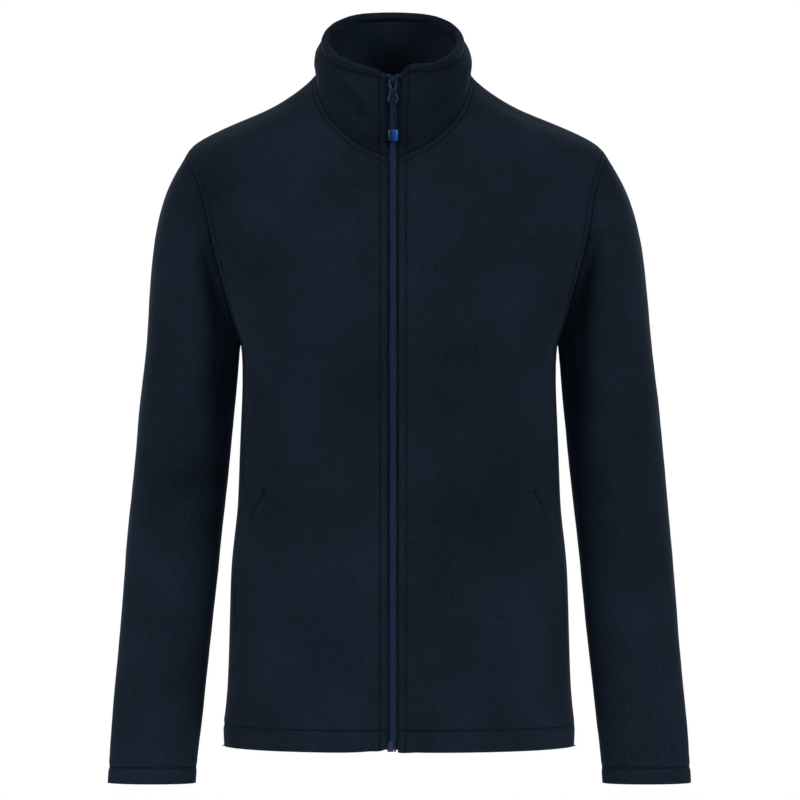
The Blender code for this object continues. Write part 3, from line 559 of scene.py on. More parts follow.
Valley = namedtuple("Valley", "sleeve body path half push")
MIDDLE_X = 6.5                                                          # of the body, in mm
ARMHOLE = ((203.5, 62, -155), (180.5, 50, -250), (182.5, 38, -350))     # from that middle, in mm
VALLEYS = []
for hand, side in (("left", 1), ("right", -1)):
    # the sleeve sinks beside the armhole by push (x, y, z) in mm, and draws a share of the body with it
    for body, facing, half, push in (("front_" + hand, -1, 18, (3 * side, 25, 0)),
                                     ("back", 1, 14, (0, -9, 0))):
        path = [(MIDDLE_X + side * x, facing * y, z) for x, y, z in ARMHOLE]
        VALLEYS.append(Valley("sleeve_" + hand, body, path, half, push))
BODY_SHARE = 0.25


def bent_path(points, surface, steps=120):
    """Points along a smooth curve through three given ones, laid on a surface, in metres."""
    first, middle, last = (Vector(p) * MM for p in points)
    control = 2.0 * middle - (first + last) / 2.0
    path = []
    for k in range(steps + 1):
        t = k / steps
        path.append((1.0 - t) ** 2 * first + 2.0 * t * (1.0 - t) * control + t * t * last)
    return [surface.find_nearest(point)[0] for point in path]


creases_of = {name: [] for name in cloths}
valleys_of = {name: [] for name in cloths}
for name, mesh in cloths.items():
    surface = surface_of(mesh)
    for valley in (valley for valley in VALLEYS if name in (valley.sleeve, valley.body)):
        path = bent_path(valley.path, surface_of(cloths[valley.sleeve]))
        share = MM if name == valley.sleeve else BODY_SHARE * MM
        valleys_of[name].append((tree_of(path), len(path), valley.half * MM, Vector(valley.push) * share))
    for half, height, *points in CREASES[name]:
        path = bent_path(points, surface)
        creases_of[name].append((tree_of(path), len(path), half * MM, height * MM))
print("creases:", {name: len(found) for name, found in creases_of.items()})


# %% Shape the cloth
def ramp(value, start, stop):
    """0 at start rising smoothly to 1 at stop."""
    t = min(max((value - start) / (stop - start), 0.0), 1.0)
    return t * t * (3.0 - 2.0 * t)


def bell(value, half):
    return math.exp(-(value / half) ** 2)


BROAD_WAVE = 0.9 * MM
SMALL_WAVE = 0.22 * MM
SEAM_SINK = 0.5 * MM
BAND_SWELL = 0.5 * MM
RIM_SWELL = 2.0 * MM


def lift_at(name, point, sewing_here, index):
    """How far one point of the cloth moves out along its normal."""
    sewn = sewing_here["sewn"][index]
    free = ramp(sewn, 0.0, 22.0 * MM)
    lift = BROAD_WAVE * noise.noise(point * 11.0) * free + SMALL_WAVE * noise.noise(point * 55.0) * free
    for tree, count, half, height in creases_of[name]:
        _, at, away = tree.find(point)
        if away < 2.6 * half:
            ends = math.sin(math.pi * (at + 0.5) / count) ** 0.6
            profile = bell(away, half) - 0.4 * bell(away - 1.7 * half, 0.6 * half)
            lift += height * ends * profile * max(free, 0.35)
    lift -= SEAM_SINK * bell(sewn, 3.0 * MM)
    topstitched = sewing_here["topstitched"][index]
    if topstitched < 0.02:
        lift += 0.15 * MM * bell(topstitched - 3.0 * MM, 2.0 * MM)
        lift -= 0.2 * MM * bell(topstitched - STITCH_AWAY, 2.0 * MM)
    if name == "collar":
        down = sewing_here["from_top"][index]
        closed = ramp(sewing_here["from_zip"][index], 0.0, 9.0 * MM)
        lift += RIM_SWELL * bell(down - 4.4 * MM, 3.4 * MM) * (0.25 + 0.75 * closed)
        lift -= 0.7 * MM * bell(down - RIM_STITCH, 2.2 * MM)
    else:
        band, edge = (CUFF_BAND, CUFF_Z) if name.startswith("sleeve") else (HEM_BAND, HEM_Z)
        lift += band_lift(point, point.z - edge, band)
    mouth = sewing_here["mouth"][index]
    if mouth < 0.03:
        lower = ramp(point.z, -0.475, -0.445)
        lip = 0.7 * bell(mouth - 7.0 * MM, 4.0 * MM) - 1.1 * bell(mouth, 4.0 * MM)
        lift += lip * (0.3 + 0.7 * lower) * MM
    from_zip = sewing_here["from_zip"][index]
    lift += 0.4 * MM * bell(from_zip - 3.6 * MM, 3.0 * MM) - 0.5 * MM * bell(from_zip - ZIP_STITCH, 2.4 * MM)
    return lift


SLEEVE_FROM, SLEEVE_MIDDLE = 0.2, 0.25      # sideways, near the cuffs


def band_lift(point, rise, band):
    """The turned hem and cuffs are a little plumper, and pucker where they are stitched."""
    if rise > band + 12.0 * MM:
        return 0.0
    on_sleeve = abs(point.x) > SLEEVE_FROM
    sideways = point.x - math.copysign(SLEEVE_MIDDLE, point.x) if on_sleeve else point.x
    waves = 30.0 if on_sleeve else 46.0
    turn = math.atan2(point.y, sideways) * waves
    pucker = 0.5 + 0.5 * math.sin(turn + 2.0 * noise.noise(point * 30.0))
    swell = BAND_SWELL * ramp(rise, band, band - 6.0 * MM) * (0.7 + 0.3 * pucker)
    groove = 0.5 * MM * bell(rise - band, 2.6 * MM) * (0.6 + 0.6 * pucker)
    return swell - groove + 0.3 * MM * bell(rise - band - 6.0 * MM, 4.0 * MM) * pucker


COLLAR_RISE = 3.6 * MM          # the left end of the collar stands a little higher at the zip
CORNER_MOVES = {"front_left": (-1.5, -1.3), "front_right": (0.0, -2.0)}     # sideways and up, in mm


def sunk_at(name, point):
    """How the valleys beside the sleeves, and the weight of the hem's corners, move one point."""
    low = 1.0 - ramp(point.z - HEM_Z, 0.0, 20.0 * MM)
    at_corner = (1.0 - ramp(abs(point.x), 9.0 * MM, 26.0 * MM)) * low
    sideways, up = CORNER_MOVES.get(name, (0.0, 0.0))
    move = Vector((sideways, 0.0, up)) * (at_corner * MM)
    if name == "collar" and point.y < 0.0:
        move.z = COLLAR_RISE * bell(point.x - 20.0 * MM, 15.0 * MM) * ramp(point.z, -45.0 * MM, -5.0 * MM)
    for tree, count, half, push in valleys_of[name]:
        _, at, away = tree.find(point)
        if away < 3.0 * half:
            move += push * bell(away, half) * math.sin(math.pi * (at + 0.5) / count)
    return move


for name, mesh in cloths.items():
    normals = [vert.normal.copy() for vert in mesh.vertices]
    for vert, normal in zip(mesh.vertices, normals):
        vert.co += normal * lift_at(name, vert.co, sewing[name], vert.index) + sunk_at(name, vert.co)
print("cloth shaped")

# %% [markdown]
# ## Letting the collar part at the top
#
# The collar isn't stiff: its roll leans in towards the neck at both sides.  Above the slider its two ends
# part.  One droops a little more than the other, and the corner of the left one is rounded off.

# %% Lean the roll in and part the ends of the collar
LEAN_IN = 6.5 * MM
for vert in cloths["collar"].vertices:
    beside_neck = ramp(abs(vert.co.x), 18.0 * MM, 62.0 * MM)
    upper = 1.0 - ramp(sewing["collar"]["from_top"][vert.index], 1.0 * MM, 24.0 * MM)
    vert.co.x -= math.copysign(LEAN_IN, vert.co.x) * beside_neck * upper

Parting = namedtuple("Parting", "side sideways reach rise")
# in mm; the last row rounds off the corner of the left end
PARTINGS = (Parting(-1.0, 1.6, 9.0, -2.4), Parting(1.0, 2.8, 32.0, 1.8), Parting(1.0, 0.0, 8.0, -5.6))

for vert in cloths["collar"].vertices:
    if vert.co.y < 0.0:
        for part in PARTINGS:
            away = abs(vert.co.x) - ZIP_EDGE
            near = 1.0 - ramp(away, 0.0, part.reach * MM)
            if vert.co.x * part.side > 0.0:
                vert.co.x += part.side * part.sideways * MM * near * ramp(vert.co.z, -0.045, -0.005)
                vert.co.z += part.rise * MM * near * ramp(vert.co.z, -0.020, 0.004)
print("collar parted")

# %% [markdown]
# ## Closing the seams
#
# Smoothing and shaping moved the two sides of each seam by slightly different amounts.  Every outline
# point that lies against another piece goes halfway to it, three times over, and draws its neighbours along.
# The inside of the collar reaches down to just under the seam at the neck.  At last the sleeves' edges run
# on a little under those of the body, so that no light comes through the armholes.

# %% Close the seams
DRAWN = 14.0 * MM               # how far a move at the outline draws the cloth along
SEWN_WITHIN = 2.2 * MM
INNER_WITHIN = 9.0 * MM
UNDER_SEAM = 2.4 * MM
UNDERLAP = 0.45 * MM            # how far a sleeve's edge runs on under the body's
AT_LIP = 0.5 * MM
MOUTH_CLOSED = 0.92


def outline_samples(mesh, parts=8):
    """Close-set points along the free outline, and the numbers of its vertices."""
    edges = free_edges(mesh)
    points = [mesh.vertices[a].co.lerp(mesh.vertices[b].co, k / parts)
              for a, b in edges for k in range(parts)]
    return points, sorted({index for key in edges for index in key})


def lips_of(name, mesh):
    return [vert.co.copy() for vert in mesh.vertices if sewing[name]["mouth"][vert.index] < AT_LIP]


def lip_step(lips, here):
    """How far one point of a pocket mouth goes to meet the other lip; the ends of the mouth stay."""
    near = [point for point in lips if abs(point.z - here.z) < 4.0 * MM]
    middle = Vector((sum(point.x for point in near), sum(point.y for point in near), 0.0)) / len(near)
    from_end = min(here.z - min(point.z for point in lips), max(point.z for point in lips) - here.z)
    share = MOUTH_CLOSED * ramp(from_end, 0.0, 5.0 * MM)
    return Vector((middle.x - here.x, middle.y - here.y, 0.0)) * share


def step_to(name, mesh, index, trees, lips):
    """How far one point of an outline goes to close its seam or its pocket mouth."""
    here, sewn = mesh.vertices[index].co, sewing[name]["sewn"][index]
    others = SEWN_TO[name][0] + [other.replace("collar_outer", "collar") for other in SEWN_TO[name][1]]
    there = min((trees[other].find(here) for other in others), key=lambda found: found[2])
    if sewn < SEWN_WITHIN:
        return (there[0] - here) * 0.5
    if name == "collar" and sewn < INNER_WITHIN and sewing[name]["from_zip"][index] > 1.0 * MM:
        inward = Vector((-there[0].x, -there[0].y, 0.0)).normalized()
        return there[0] + inward * UNDER_SEAM - here
    if sewing[name]["mouth"][index] < AT_LIP:
        return lip_step(lips, here)
    return Vector()


for _ in range(3):
    outlines = {name: outline_samples(mesh) for name, mesh in cloths.items()}
    trees = {name: tree_of(points) for name, (points, _) in outlines.items()}
    moves = {}
    for name, mesh in cloths.items():
        lips = lips_of(name, mesh)
        moves[name] = [(mesh.vertices[index].co.copy(), step_to(name, mesh, index, trees, lips))
                       for index in outlines[name][1]]
    for name, mesh in cloths.items():
        nearest = tree_of([place for place, _ in moves[name]])
        for vert in mesh.vertices:
            _, index, away = nearest.find(vert.co)
            vert.co += moves[name][index][1] * (1.0 - ramp(away, 0.0, DRAWN))
        mesh.update()
    longest = max(move.length for found in moves.values() for _, move in found)
    print("largest seam move, mm:", round(longest / MM, 2))

for name in SLEEVES:
    mesh = cloths[name]
    rim = {index for key in free_edges(mesh) for index in key}
    behind = {index: [] for index in rim}
    for edge in mesh.edges:
        for a, b in (tuple(edge.vertices), tuple(edge.vertices)[::-1]):
            if a in rim and b not in rim:
                behind[a].append(mesh.vertices[b].co.copy())
    for index, places in behind.items():
        if places and sewing[name]["sewn"][index] < SEWN_WITHIN:
            here = mesh.vertices[index].co
            outward = (here - sum(places, Vector()) / len(places)).normalized()
            mesh.vertices[index].co = here + outward * UNDERLAP

# %% [markdown]
# ## Giving the cloth its thickness
#
# A Solidify modifier turns the smooth surface into cloth two millimetres thick.  The hem, the cuffs and
# the edges at the zip are turned under, so they are thicker: a vertex group says where.  A narrow Bevel
# then rounds every cut edge, which also opens the seams into soft valleys.

# %% Make the pieces
CLOTH = 2.0 * MM
TURNED = 3.4 * MM
FINISH_OF = {"front_left": front_fleece, "front_right": front_fleece, "back": back_fleece,
             "sleeve_left": sleeve_fleece, "sleeve_right": sleeve_fleece, "collar": collar_fleece}
STANDS_FOR = {"collar": ("collar_outer", "collar_inner")}


def turned_share(name, point):
    if name.startswith("sleeve"):
        return 1.0 - ramp(point.z, CUFF_Z + CUFF_BAND, CUFF_Z + CUFF_BAND + 3.0 * MM)
    if name == "collar":
        return 0.0
    hem = 1.0 - ramp(point.z, HEM_Z + HEM_BAND, HEM_Z + HEM_BAND + 3.0 * MM)
    if name == "back":
        return hem
    inner_limit = ZIP_EDGE + ZIP_STITCH
    return max(hem, 1.0 - ramp(abs(point.x), inner_limit, inner_limit + 3.0 * MM))


def shown(name, mesh, material, body="garment"):
    """Puts a finished mesh into the scene as a piece that rides on a body."""
    mesh.materials.clear()
    mesh.materials.append(material)
    mesh.shade_smooth()
    piece = put(name, mesh)
    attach(piece, body)
    return piece


def round_edges(piece, width, segments, angle):
    """Rounds the edges of a piece that bend more than an angle in degrees."""
    rounded = piece.modifiers.new("rounded edge", "BEVEL")
    rounded.width, rounded.segments = width, segments
    rounded.limit_method, rounded.angle_limit = "ANGLE", math.radians(angle)


for name, mesh in cloths.items():
    piece = shown(name + "_cloth", mesh, FINISH_OF[name])
    group = piece.vertex_groups.new(name="turned")
    for vert in mesh.vertices:
        share = turned_share(name, vert.co)
        if share > 0.0:
            group.add([vert.index], share, "REPLACE")
    wall = piece.modifiers.new("wall", "SOLIDIFY")
    wall.thickness, wall.offset = (TURNED if name != "collar" else CLOTH * 0.95), -1.0
    if name != "collar":
        wall.vertex_group, wall.thickness_vertex_group = "turned", CLOTH / TURNED
    round_edges(piece, 0.7 * MM, 2, 50.0)
    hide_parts(*STANDS_FOR.get(name, (name,)))

# %% [markdown]
# ## The cuts
#
# Each piece of cloth was cut flat before it was sewn.

# %% [markdown]
# ## Rows of stitches
#
# Each distance that was stored on the cloth is a height map of the sewing: where it passes the stitch
# distance, there runs the row.  A small function walks along such a level line, face by face, and a second
# one lays stitches along it.  A stitch is a tiny squashed sphere, half sunk in the pile.

# %% Level lines and stitches
def level_lines(mesh, values, height):
    """Chains of points along which the values kept at the vertices pass a height."""
    crossings, linked = {}, {}
    for polygon in mesh.polygons:
        cut = []
        for key in polygon.edge_keys:
            low, high = (values[index] - height for index in key)
            if (low < 0.0) != (high < 0.0):
                start, end = (mesh.vertices[index].co for index in key)
                crossings[key] = start.lerp(end, low / (low - high))
                cut.append(key)
        if len(cut) == 2:
            linked.setdefault(cut[0], []).append(cut[1])
            linked.setdefault(cut[1], []).append(cut[0])
    chains, unused = [], dict.fromkeys(linked)
    for start in sorted(linked, key=lambda key: len(linked[key])):
        chain, here = [], start
        while here in unused:
            del unused[here]
            chain.append(crossings[here])
            closing = start in linked[here] and len(chain) > 2
            here = next((key for key in linked[here] if key in unused), None)
            if here is None and closing:
                chain.append(crossings[start])
        if len(chain) > 2:
            chains.append(chain)
    return chains


def evenly(chain, pitch):
    """Middle and direction of each stretch of one pitch along a chain."""
    spots, left = [], pitch / 2.0
    for start, end in zip(chain, chain[1:]):
        run = (end - start).length
        while left < run:
            spots.append((start.lerp(end, left / run), (end - start) / run))
            left += pitch
        left -= run
    return spots


Stitch = namedtuple("Stitch", "pitch length width height sunk")
TOP_STITCH = Stitch(4.0 * MM, 3.1 * MM, 0.62 * MM, 0.42 * MM, 0.3)


def one_stitch():
    """A ball one unit across, its poles along X, with few faces because it is used thousands of times."""
    net = bmesh.new()
    bmesh.ops.create_uvsphere(net, u_segments=6, v_segments=5, radius=0.5,
                              matrix=Matrix.Rotation(math.pi / 2.0, 4, "Y"))
    return mesh_of(net, "one stitch")


STITCH_SHAPE = one_stitch()


def sew(name, spots, stitch):
    """One mesh of stitches; spots lists the place, the way along and the way out of each."""
    net = bmesh.new()
    for place, along, out in spots:
        across = along.cross(out).normalized()
        out = across.cross(along).normalized()
        turn = Matrix((along, across, out)).transposed().to_4x4()
        size = Matrix.Diagonal((stitch.length, stitch.width, stitch.height, 1.0))
        shape = STITCH_SHAPE.copy()
        shape.transform(Matrix.Translation(place + out * stitch.height * (0.5 - stitch.sunk)) @ turn @ size)
        net.from_mesh(shape)
        bpy.data.meshes.remove(shape)
    return mesh_of(net, name)


def spots_on(surface, rows, pitch):
    """Stitch spots along rows, laid on a surface; an open row stops short of the cloth's edge."""
    spots = []
    for row in rows:
        placed = evenly(row, pitch)
        if (row[0] - row[-1]).length > pitch:
            placed = placed[1:-1]
        for spot, along in placed:
            place, out, _, _ = surface.find_nearest(spot)
            spots.append((place, along, out))
    return spots


thread = Finish("sewing thread", Base_Color=(0.0034, 0.0070, 0.0120, 1.0), Roughness=0.9,
                Specular_IOR_Level=0.04)
twist = thread.noise(2600.0, 1.0)
thread.set(Normal=thread.bump(twist, 0.08 * MM, 0.5))


def heights(mesh):
    return [vert.co.z for vert in mesh.vertices]


for name, mesh in cloths.items():
    if name.startswith("sleeve"):
        sewn_at = [(heights(mesh), CUFF_Z + CUFF_BAND)]
    elif name == "collar":
        sewn_at = [(sewing[name]["from_top"], RIM_STITCH)]
    else:
        sewn_at = [(heights(mesh), HEM_Z + HEM_BAND), (sewing[name]["topstitched"], STITCH_AWAY)]
    if name == "collar" or name.startswith("front"):
        sewn_at.append((sewing[name]["from_zip"], ZIP_STITCH))
    rows = [chain for values, height in sewn_at for chain in level_lines(mesh, values, height)]
    spots = spots_on(surface_of(mesh), rows, TOP_STITCH.pitch)
    stitches = sew(name.replace("_", " ") + " stitches", spots, TOP_STITCH)
    shown(name + "_stitches", stitches, thread.material)
    print(name, "rows of stitches:", len(rows), "faces:", len(stitches.polygons))

# %% [markdown]
# ## The zip
#
# A nylon coil zip is two long springs.  Each turn of one spring catches between two turns of the other,
# half a turn on.  A filler cord runs inside each spring, and two rows of stitches hold it to its tape.

# %% Follow the line of the zip
ZIP_LOW_Z, ZIP_HIGH_Z = -0.6905, -0.0025
FORWARD = Vector((0.0, -1.0, 0.0))


def zip_line(step=4.0 * MM):
    """Points up the face of the closed chain, found from in front of the jacket."""
    count = int((ZIP_HIGH_Z - ZIP_LOW_Z) / step)
    starts = [Vector((0.3 * MM, -0.5, ZIP_LOW_Z + (ZIP_HIGH_Z - ZIP_LOW_Z) * k / count))
              for k in range(count + 1)]
    found = [walls["zip_chain"].ray_cast(start, -FORWARD)[0] for start in starts]
    for _ in range(3):
        inner = [(a + 2.0 * b + c) / 4.0 for a, b, c in zip(found, found[1:], found[2:])]
        found = [found[0], *inner, found[-1]]
    return [Vector((0.0, point.y, point.z)) for point in found]


ZIP_LINE = zip_line()
zip_ends = [0.0]
for a, b in zip(ZIP_LINE, ZIP_LINE[1:]):
    zip_ends.append(zip_ends[-1] + (b - a).length)
ZIP_LENGTH = zip_ends[-1]


def on_zip(along):
    """The point of the chain's face at a length up the zip, with the directions up and out."""
    k = min(max(bisect.bisect_right(zip_ends, along) - 1, 0), len(ZIP_LINE) - 2)
    start, end = ZIP_LINE[k], ZIP_LINE[k + 1]
    up = (end - start).normalized()
    return start + up * (along - zip_ends[k]), up, Vector((0.0, -up.z, up.y))


print("zip length", round(ZIP_LENGTH, 4))


# %% Wind the two coils
def tube(name, runs, radius, sides=6):
    """A round tube along each run of points, as one mesh."""
    curve = bpy.data.curves.new(name, "CURVE")
    curve.dimensions = "3D"
    curve.bevel_depth, curve.bevel_resolution = radius, (sides - 4) // 2
    curve.use_fill_caps = True
    for run in runs:
        spline = curve.splines.new("POLY")
        spline.points.add(len(run) - 1)
        for point, place in zip(spline.points, run):
            point.co = (*place, 1.0)
    mesh = worked_out(put(name, curve), name)
    bpy.data.curves.remove(curve)
    return mesh


COIL_PITCH = 1.42 * MM
COIL_STEPS = 8
COIL_WIRE = 0.29 * MM
COIL_MIDDLE = 1.6 * MM          # from the middle of the zip
COIL_HALF = 1.95 * MM
COIL_DEEP = 0.98 * MM           # half the depth of a turn
FILLER = 0.62 * MM
INTO_BOX = 2.2 * MM             # the lowest turns are held by the box and the pin


def coil_run(side):
    run = []
    for k in range(int(ZIP_LENGTH / COIL_PITCH - 1.0) * COIL_STEPS):
        turn = math.tau * k / COIL_STEPS
        along = COIL_PITCH * (k / COIL_STEPS + (0.75 if side > 0.0 else 0.25)) - INTO_BOX
        place, _, out = on_zip(along)
        sideways = side * (COIL_MIDDLE + COIL_HALF * math.cos(turn))
        deep = COIL_WIRE + COIL_DEEP * (1.0 - math.sin(turn))
        run.append(place + Vector((sideways, 0.0, 0.0)) - out * deep)
    return run


def straight_run(sideways, deep, step=6.0 * MM):
    count = int(ZIP_LENGTH / step)
    spots = [on_zip((ZIP_LENGTH + INTO_BOX) * k / count - INTO_BOX) for k in range(count + 1)]
    return [place + Vector((sideways, 0.0, 0.0)) - out * deep for place, _, out in spots]


nylon = Finish("nylon coil", Roughness=0.4, Specular_IOR_Level=0.25)
shade = nylon.noise(260.0, 2.0)
nylon.set(Base_Color=nylon.mixed(shade, (0.0050, 0.0195, 0.060), (0.0085, 0.0300, 0.090)))
windings = tube("zip coils", [coil_run(-1.0), coil_run(1.0)], COIL_WIRE)
coils = shown("zip_coils", windings, nylon.material)
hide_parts("zip_chain")
filler_finish = Finish("filler cord", Base_Color=(0.0036, 0.0125, 0.034, 1.0), Roughness=0.9,
                       Specular_IOR_Level=0.05)
fillers = [straight_run(side * COIL_MIDDLE, COIL_WIRE + COIL_DEEP) for side in (-1.0, 1.0)]
shown("zip_fillers", tube("zip fillers", fillers, FILLER), filler_finish.material)
print("coil faces:", len(coils.data.polygons))

# %% Sew the coils to the tapes
COIL_STITCH = Stitch(2.0 * COIL_PITCH, 2.9 * MM, 0.42 * MM, 0.40 * MM, 0.45)
coil_thread = Finish("coil thread", Base_Color=(0.0072, 0.0250, 0.070, 1.0), Roughness=0.7,
                     Specular_IOR_Level=0.12)
COIL_ROWS = (-3.0, -2.1, 2.1, 3.0)      # in mm from the middle of the zip
coil_spots = [(spot, along, FORWARD) for sideways in COIL_ROWS
              for spot, along in evenly(straight_run(sideways * MM, 0.0), COIL_STITCH.pitch)]
coil_stitches = sew("coil stitches", coil_spots, COIL_STITCH)
shown("zip_coil_stitches", coil_stitches, coil_thread.material)

weave = Finish("woven tape", Roughness=0.8, Specular_IOR_Level=0.1, Sheen_Weight=0.03)
across, _, up = weave.across_deep_up()
# a wave's number is in radians a metre, so 5200 is a rib every 1.2 mm
twill = (across * 5200.0 + up * 4200.0).sine() * 0.5 + 0.5
ribs = (across * 7400.0).sine() * 0.5 + 0.5
threads = twill * 0.6 + ribs * 0.4
weave.set(Base_Color=weave.mixed(threads, (0.0038, 0.0105, 0.0190), (0.0100, 0.0230, 0.0410)),
          Normal=weave.bump(twill + ribs, 0.12 * MM, 0.6))


def softened(node, name, finish, width, body="garment", segments=2):
    """A merged copy of a solid with its edges rounded."""
    net = bmesh.new()
    net.from_mesh(solids[node].data)
    bmesh.ops.remove_doubles(net, verts=net.verts, dist=MERGE)
    bmesh.ops.dissolve_limit(net, angle_limit=math.radians(0.5), verts=net.verts, edges=net.edges)
    piece = shown(name, mesh_of(net, name), finish.material, body)
    round_edges(piece, width, segments, 40.0)
    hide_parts(node)
    return piece


TAPE_FOOT_Z = -0.7003           # the tapes run down behind the box
for side in ("left", "right"):
    tape = softened("zip_tape_" + side, "tape_" + side, weave, 0.2 * MM)
    for vert in tape.data.vertices:
        if vert.co.z < ZIP_LOW_Z + 1.0 * MM:
            vert.co.z = TAPE_FOOT_Z

# %% [markdown]
# ## Slider, pull and cord
#
# The slider and its tab are painted metal: a thin glossy coat over a dark colour, with worn-looking bright
# edges that come only from the rounding.  The cord is a braid, closed by a moulded end of blue plastic,
# whose colour is painted darker on its left and brighter on its right: painted shade and painted light.

# %% Metal and plastic parts
painted = Finish("painted metal", Base_Color=(0.0012, 0.0080, 0.0225, 1.0), Roughness=0.3,
                 Specular_IOR_Level=0.1, Coat_Weight=0.3, Coat_Roughness=0.2)
grain = painted.noise(900.0, 2.0)
painted.set(Normal=painted.bump(grain, 0.03 * MM, 0.35))
softened("zip_slider", "slider", painted, 0.5 * MM, segments=4)
softened("zip_pull_tab", "pull_tab", painted, 0.6 * MM, "pull", 4)

moulded = Finish("moulded plastic", Roughness=0.3, Specular_IOR_Level=0.2)
across, _, up = moulded.across_deep_up()
# the moulded end is painted dark on its left and bright blue on its right: painted shade and painted light
moulded.set(Base_Color=moulded.mixed((across - 2.0 * MM).fading(-4.5 * MM, 3.0 * MM),
                                     (0.003, 0.050, 0.230), (0.004, 0.011, 0.030)))
softened("pull_end", "cord_end", moulded, 0.9 * MM, "pull", 4)

violet = Finish("zip box plastic", Base_Color=(0.017, 0.0160, 0.052, 1.0), Roughness=0.45,
                Specular_IOR_Level=0.2)
softened("zip_box", "zip_foot_box", violet, 0.5 * MM, segments=3)
softened("zip_pin", "zip_foot_pin", violet, 0.35 * MM, segments=3)

# %% The braided cord
CORD = 2.3 * MM
braid = Finish("braided cord", Roughness=0.85, Specular_IOR_Level=0.06)
across, _, up = braid.across_deep_up()
strands = ((up * 3600.0 + across * 2600.0).sine() + (up * 3600.0 - across * 2600.0).sine()) * 0.25 + 0.5
braid.set(Base_Color=braid.mixed(strands, (0.0022, 0.0054, 0.0115), (0.0080, 0.0175, 0.037)),
          Normal=braid.bump(strands, 0.35 * MM, 0.8))
PULL_PIVOT = Vector((0.0, -86.085, 2.032)) * MM
PULL_LEAN = Matrix.Rotation(math.radians(-8.0), 3, "X")
CORD_ROUTE = (                  # in mm: up from the moulded end, through the tab's eye and down again
    (-1.3, 0.4, -51.0), (-1.3, -0.6, -44.0), (-1.3, -1.2, -36.0), (-1.3, -2.2, -29.0), (-1.3, -2.2, -25.6),
    (-0.8, -1.9, -22.8), (0.0, 0.0, -21.5), (0.8, 1.9, -22.8), (1.3, 2.2, -25.6), (1.3, 2.2, -29.0),
    (1.3, 1.3, -36.0), (1.3, 0.8, -44.0), (1.3, 0.4, -51.0))


def smooth_route(points, steps):
    """A smooth curve through given points, read off at even shares."""
    points = [Vector(point) for point in points]
    ends = [2.0 * points[0] - points[1], *points, 2.0 * points[-1] - points[-2]]
    route = []
    for a, b, c, d in zip(ends, ends[1:], ends[2:], ends[3:]):
        for step in range(steps):
            t = step / steps
            route.append(0.5 * (2.0 * b + (c - a) * t + (2.0 * a - 5.0 * b + 4.0 * c - d) * t * t
                                + (3.0 * b - a - 3.0 * c + d) * t ** 3))
    return route + [points[-1]]


route = [PULL_PIVOT + PULL_LEAN @ (point * MM) for point in smooth_route(CORD_ROUTE, 6)]
cord = shown("cord", tube("cord", [route], CORD / 2.0, 12), braid.material, "pull")
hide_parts("pull_cord")
print("pull made")

# %% [markdown]
# ## Pocket bags
#
# Behind each mouth hangs a bag of thin jersey.  Little of it shows, but it closes the view through the
# mouth, so it gets a soft surface and a fine knit.

# %% Pocket bags
jersey = Finish("pocket jersey", Roughness=0.9, Specular_IOR_Level=0.15, Sheen_Weight=0.1)
across, _, up = jersey.across_deep_up()
knit = (across * 4400.0).sine() * (up * 3900.0).sine() * 0.5 + 0.5
jersey.set(Base_Color=jersey.mixed(knit, (0.0030, 0.0060, 0.011), (0.0065, 0.0130, 0.024)),
           Normal=jersey.bump(knit, 0.15 * MM, 0.6))
BAG_HANGS_BACK = 3.5 * MM
for side in ("left", "right"):
    bag = softened("pocket_bag_" + side, "bag_" + side, jersey, 0.4 * MM)
    for vert in bag.data.vertices:
        inward = Vector((BODY_HEART[0] - vert.co.x, -vert.co.y, 0.0)).normalized()
        vert.co += inward * BAG_HANGS_BACK
print("bags hung")

# %% [markdown]
# ## The floor and the light
#
# A pale floor and a surround stand in for a studio.  Fleece drinks most of the light that falls
# straight on it, so two large soft lamps stand far out at the front sides, where they rake over the folds,
# and a weaker one fills in from high in front.  Two more stand behind, for the back.  The surround gives
# little light of its own, apart from a bright patch right behind that draws a thin pale line round the
# cloth's edges.  The Light Path node tells what asks for the surround: the camera always gets white.

# %% Floor, surround and lamps
FLOOR_Z, FLOOR_HALF = -0.83, 0.7
LAMP_ACROSS = 1.2

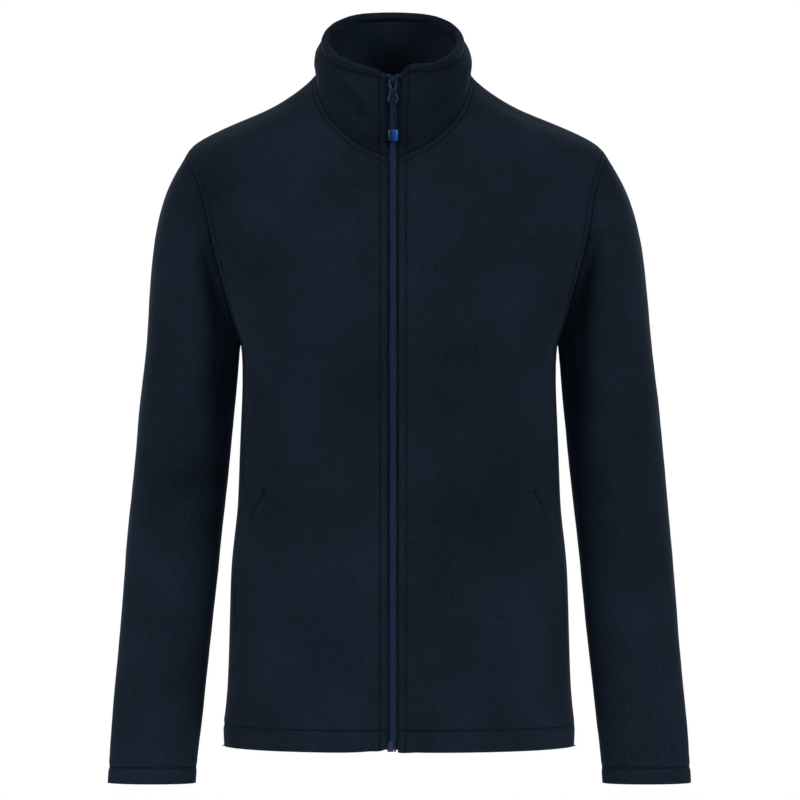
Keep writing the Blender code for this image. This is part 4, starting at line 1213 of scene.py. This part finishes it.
floor_net = bmesh.new()
bmesh.ops.create_grid(floor_net, x_segments=1, y_segments=1, size=FLOOR_HALF,
                      matrix=Matrix.Translation((0.0, 0.0, FLOOR_Z)))
floor = put("floor", mesh_of(floor_net, "floor"))
paint = Finish("pale floor", Base_Color=(0.9, 0.9, 0.9, 1.0), Roughness=0.9, Specular_IOR_Level=0.1,
               Emission_Color=(1.0, 1.0, 1.0, 1.0), Emission_Strength=0.45)
floor.data.materials.append(paint.material)

surround = bpy.data.worlds.new("studio")
surround.use_nodes = True
sky = surround.node_tree
direction = sky.nodes.new("ShaderNodeTexCoord")
parts = sky.nodes.new("ShaderNodeSeparateXYZ")
fall = sky.nodes.new("ShaderNodeMapRange")
fall.interpolation_type = "SMOOTHSTEP"
for socket, value in (("From Min", 0.92), ("From Max", 0.99), ("To Min", 0.16), ("To Max", 1.0)):
    fall.inputs[socket].default_value = value
sky.links.new(direction.outputs["Generated"], parts.inputs[0])
sky.links.new(parts.outputs["Y"], fall.inputs["Value"])
seen = sky.nodes.new("ShaderNodeLightPath")      # the backdrop looks white from every side
stronger = sky.nodes.new("ShaderNodeMath")
stronger.operation = "MAXIMUM"
sky.links.new(seen.outputs["Is Camera Ray"], stronger.inputs[0])
sky.links.new(fall.outputs["Result"], stronger.inputs[1])
sky.links.new(stronger.outputs[0], sky.nodes["Background"].inputs["Strength"])
sky.nodes["Background"].inputs["Color"].default_value = (1.0, 1.0, 1.0, 1.0)
bpy.context.scene.world = surround
bpy.context.scene.view_settings.view_transform = "Standard"


def soft_lamp(name, place, target, power):
    lamp = bpy.data.lights.new(name, "AREA")
    lamp.shape, lamp.size, lamp.energy = "DISK", LAMP_ACROSS, power
    holder = put(name, lamp)
    holder.location = place
    holder.rotation_euler = (Vector(place) - Vector(target)).to_track_quat("Z", "Y").to_euler()


for side in (-1.0, 1.0):
    soft_lamp("front side", (2.2 * side, -1.3, 0.9), (0.0, 0.0, -0.3), 67.0)
    soft_lamp("back side", (1.0 * side, 2.9, 0.8), (0.0, 0.0, -0.3), 38.0)
soft_lamp("fill", (0.0, -2.3, 1.9), (0.0, 0.0, -0.35), 20.0)
print("floor, surround and lamps set")
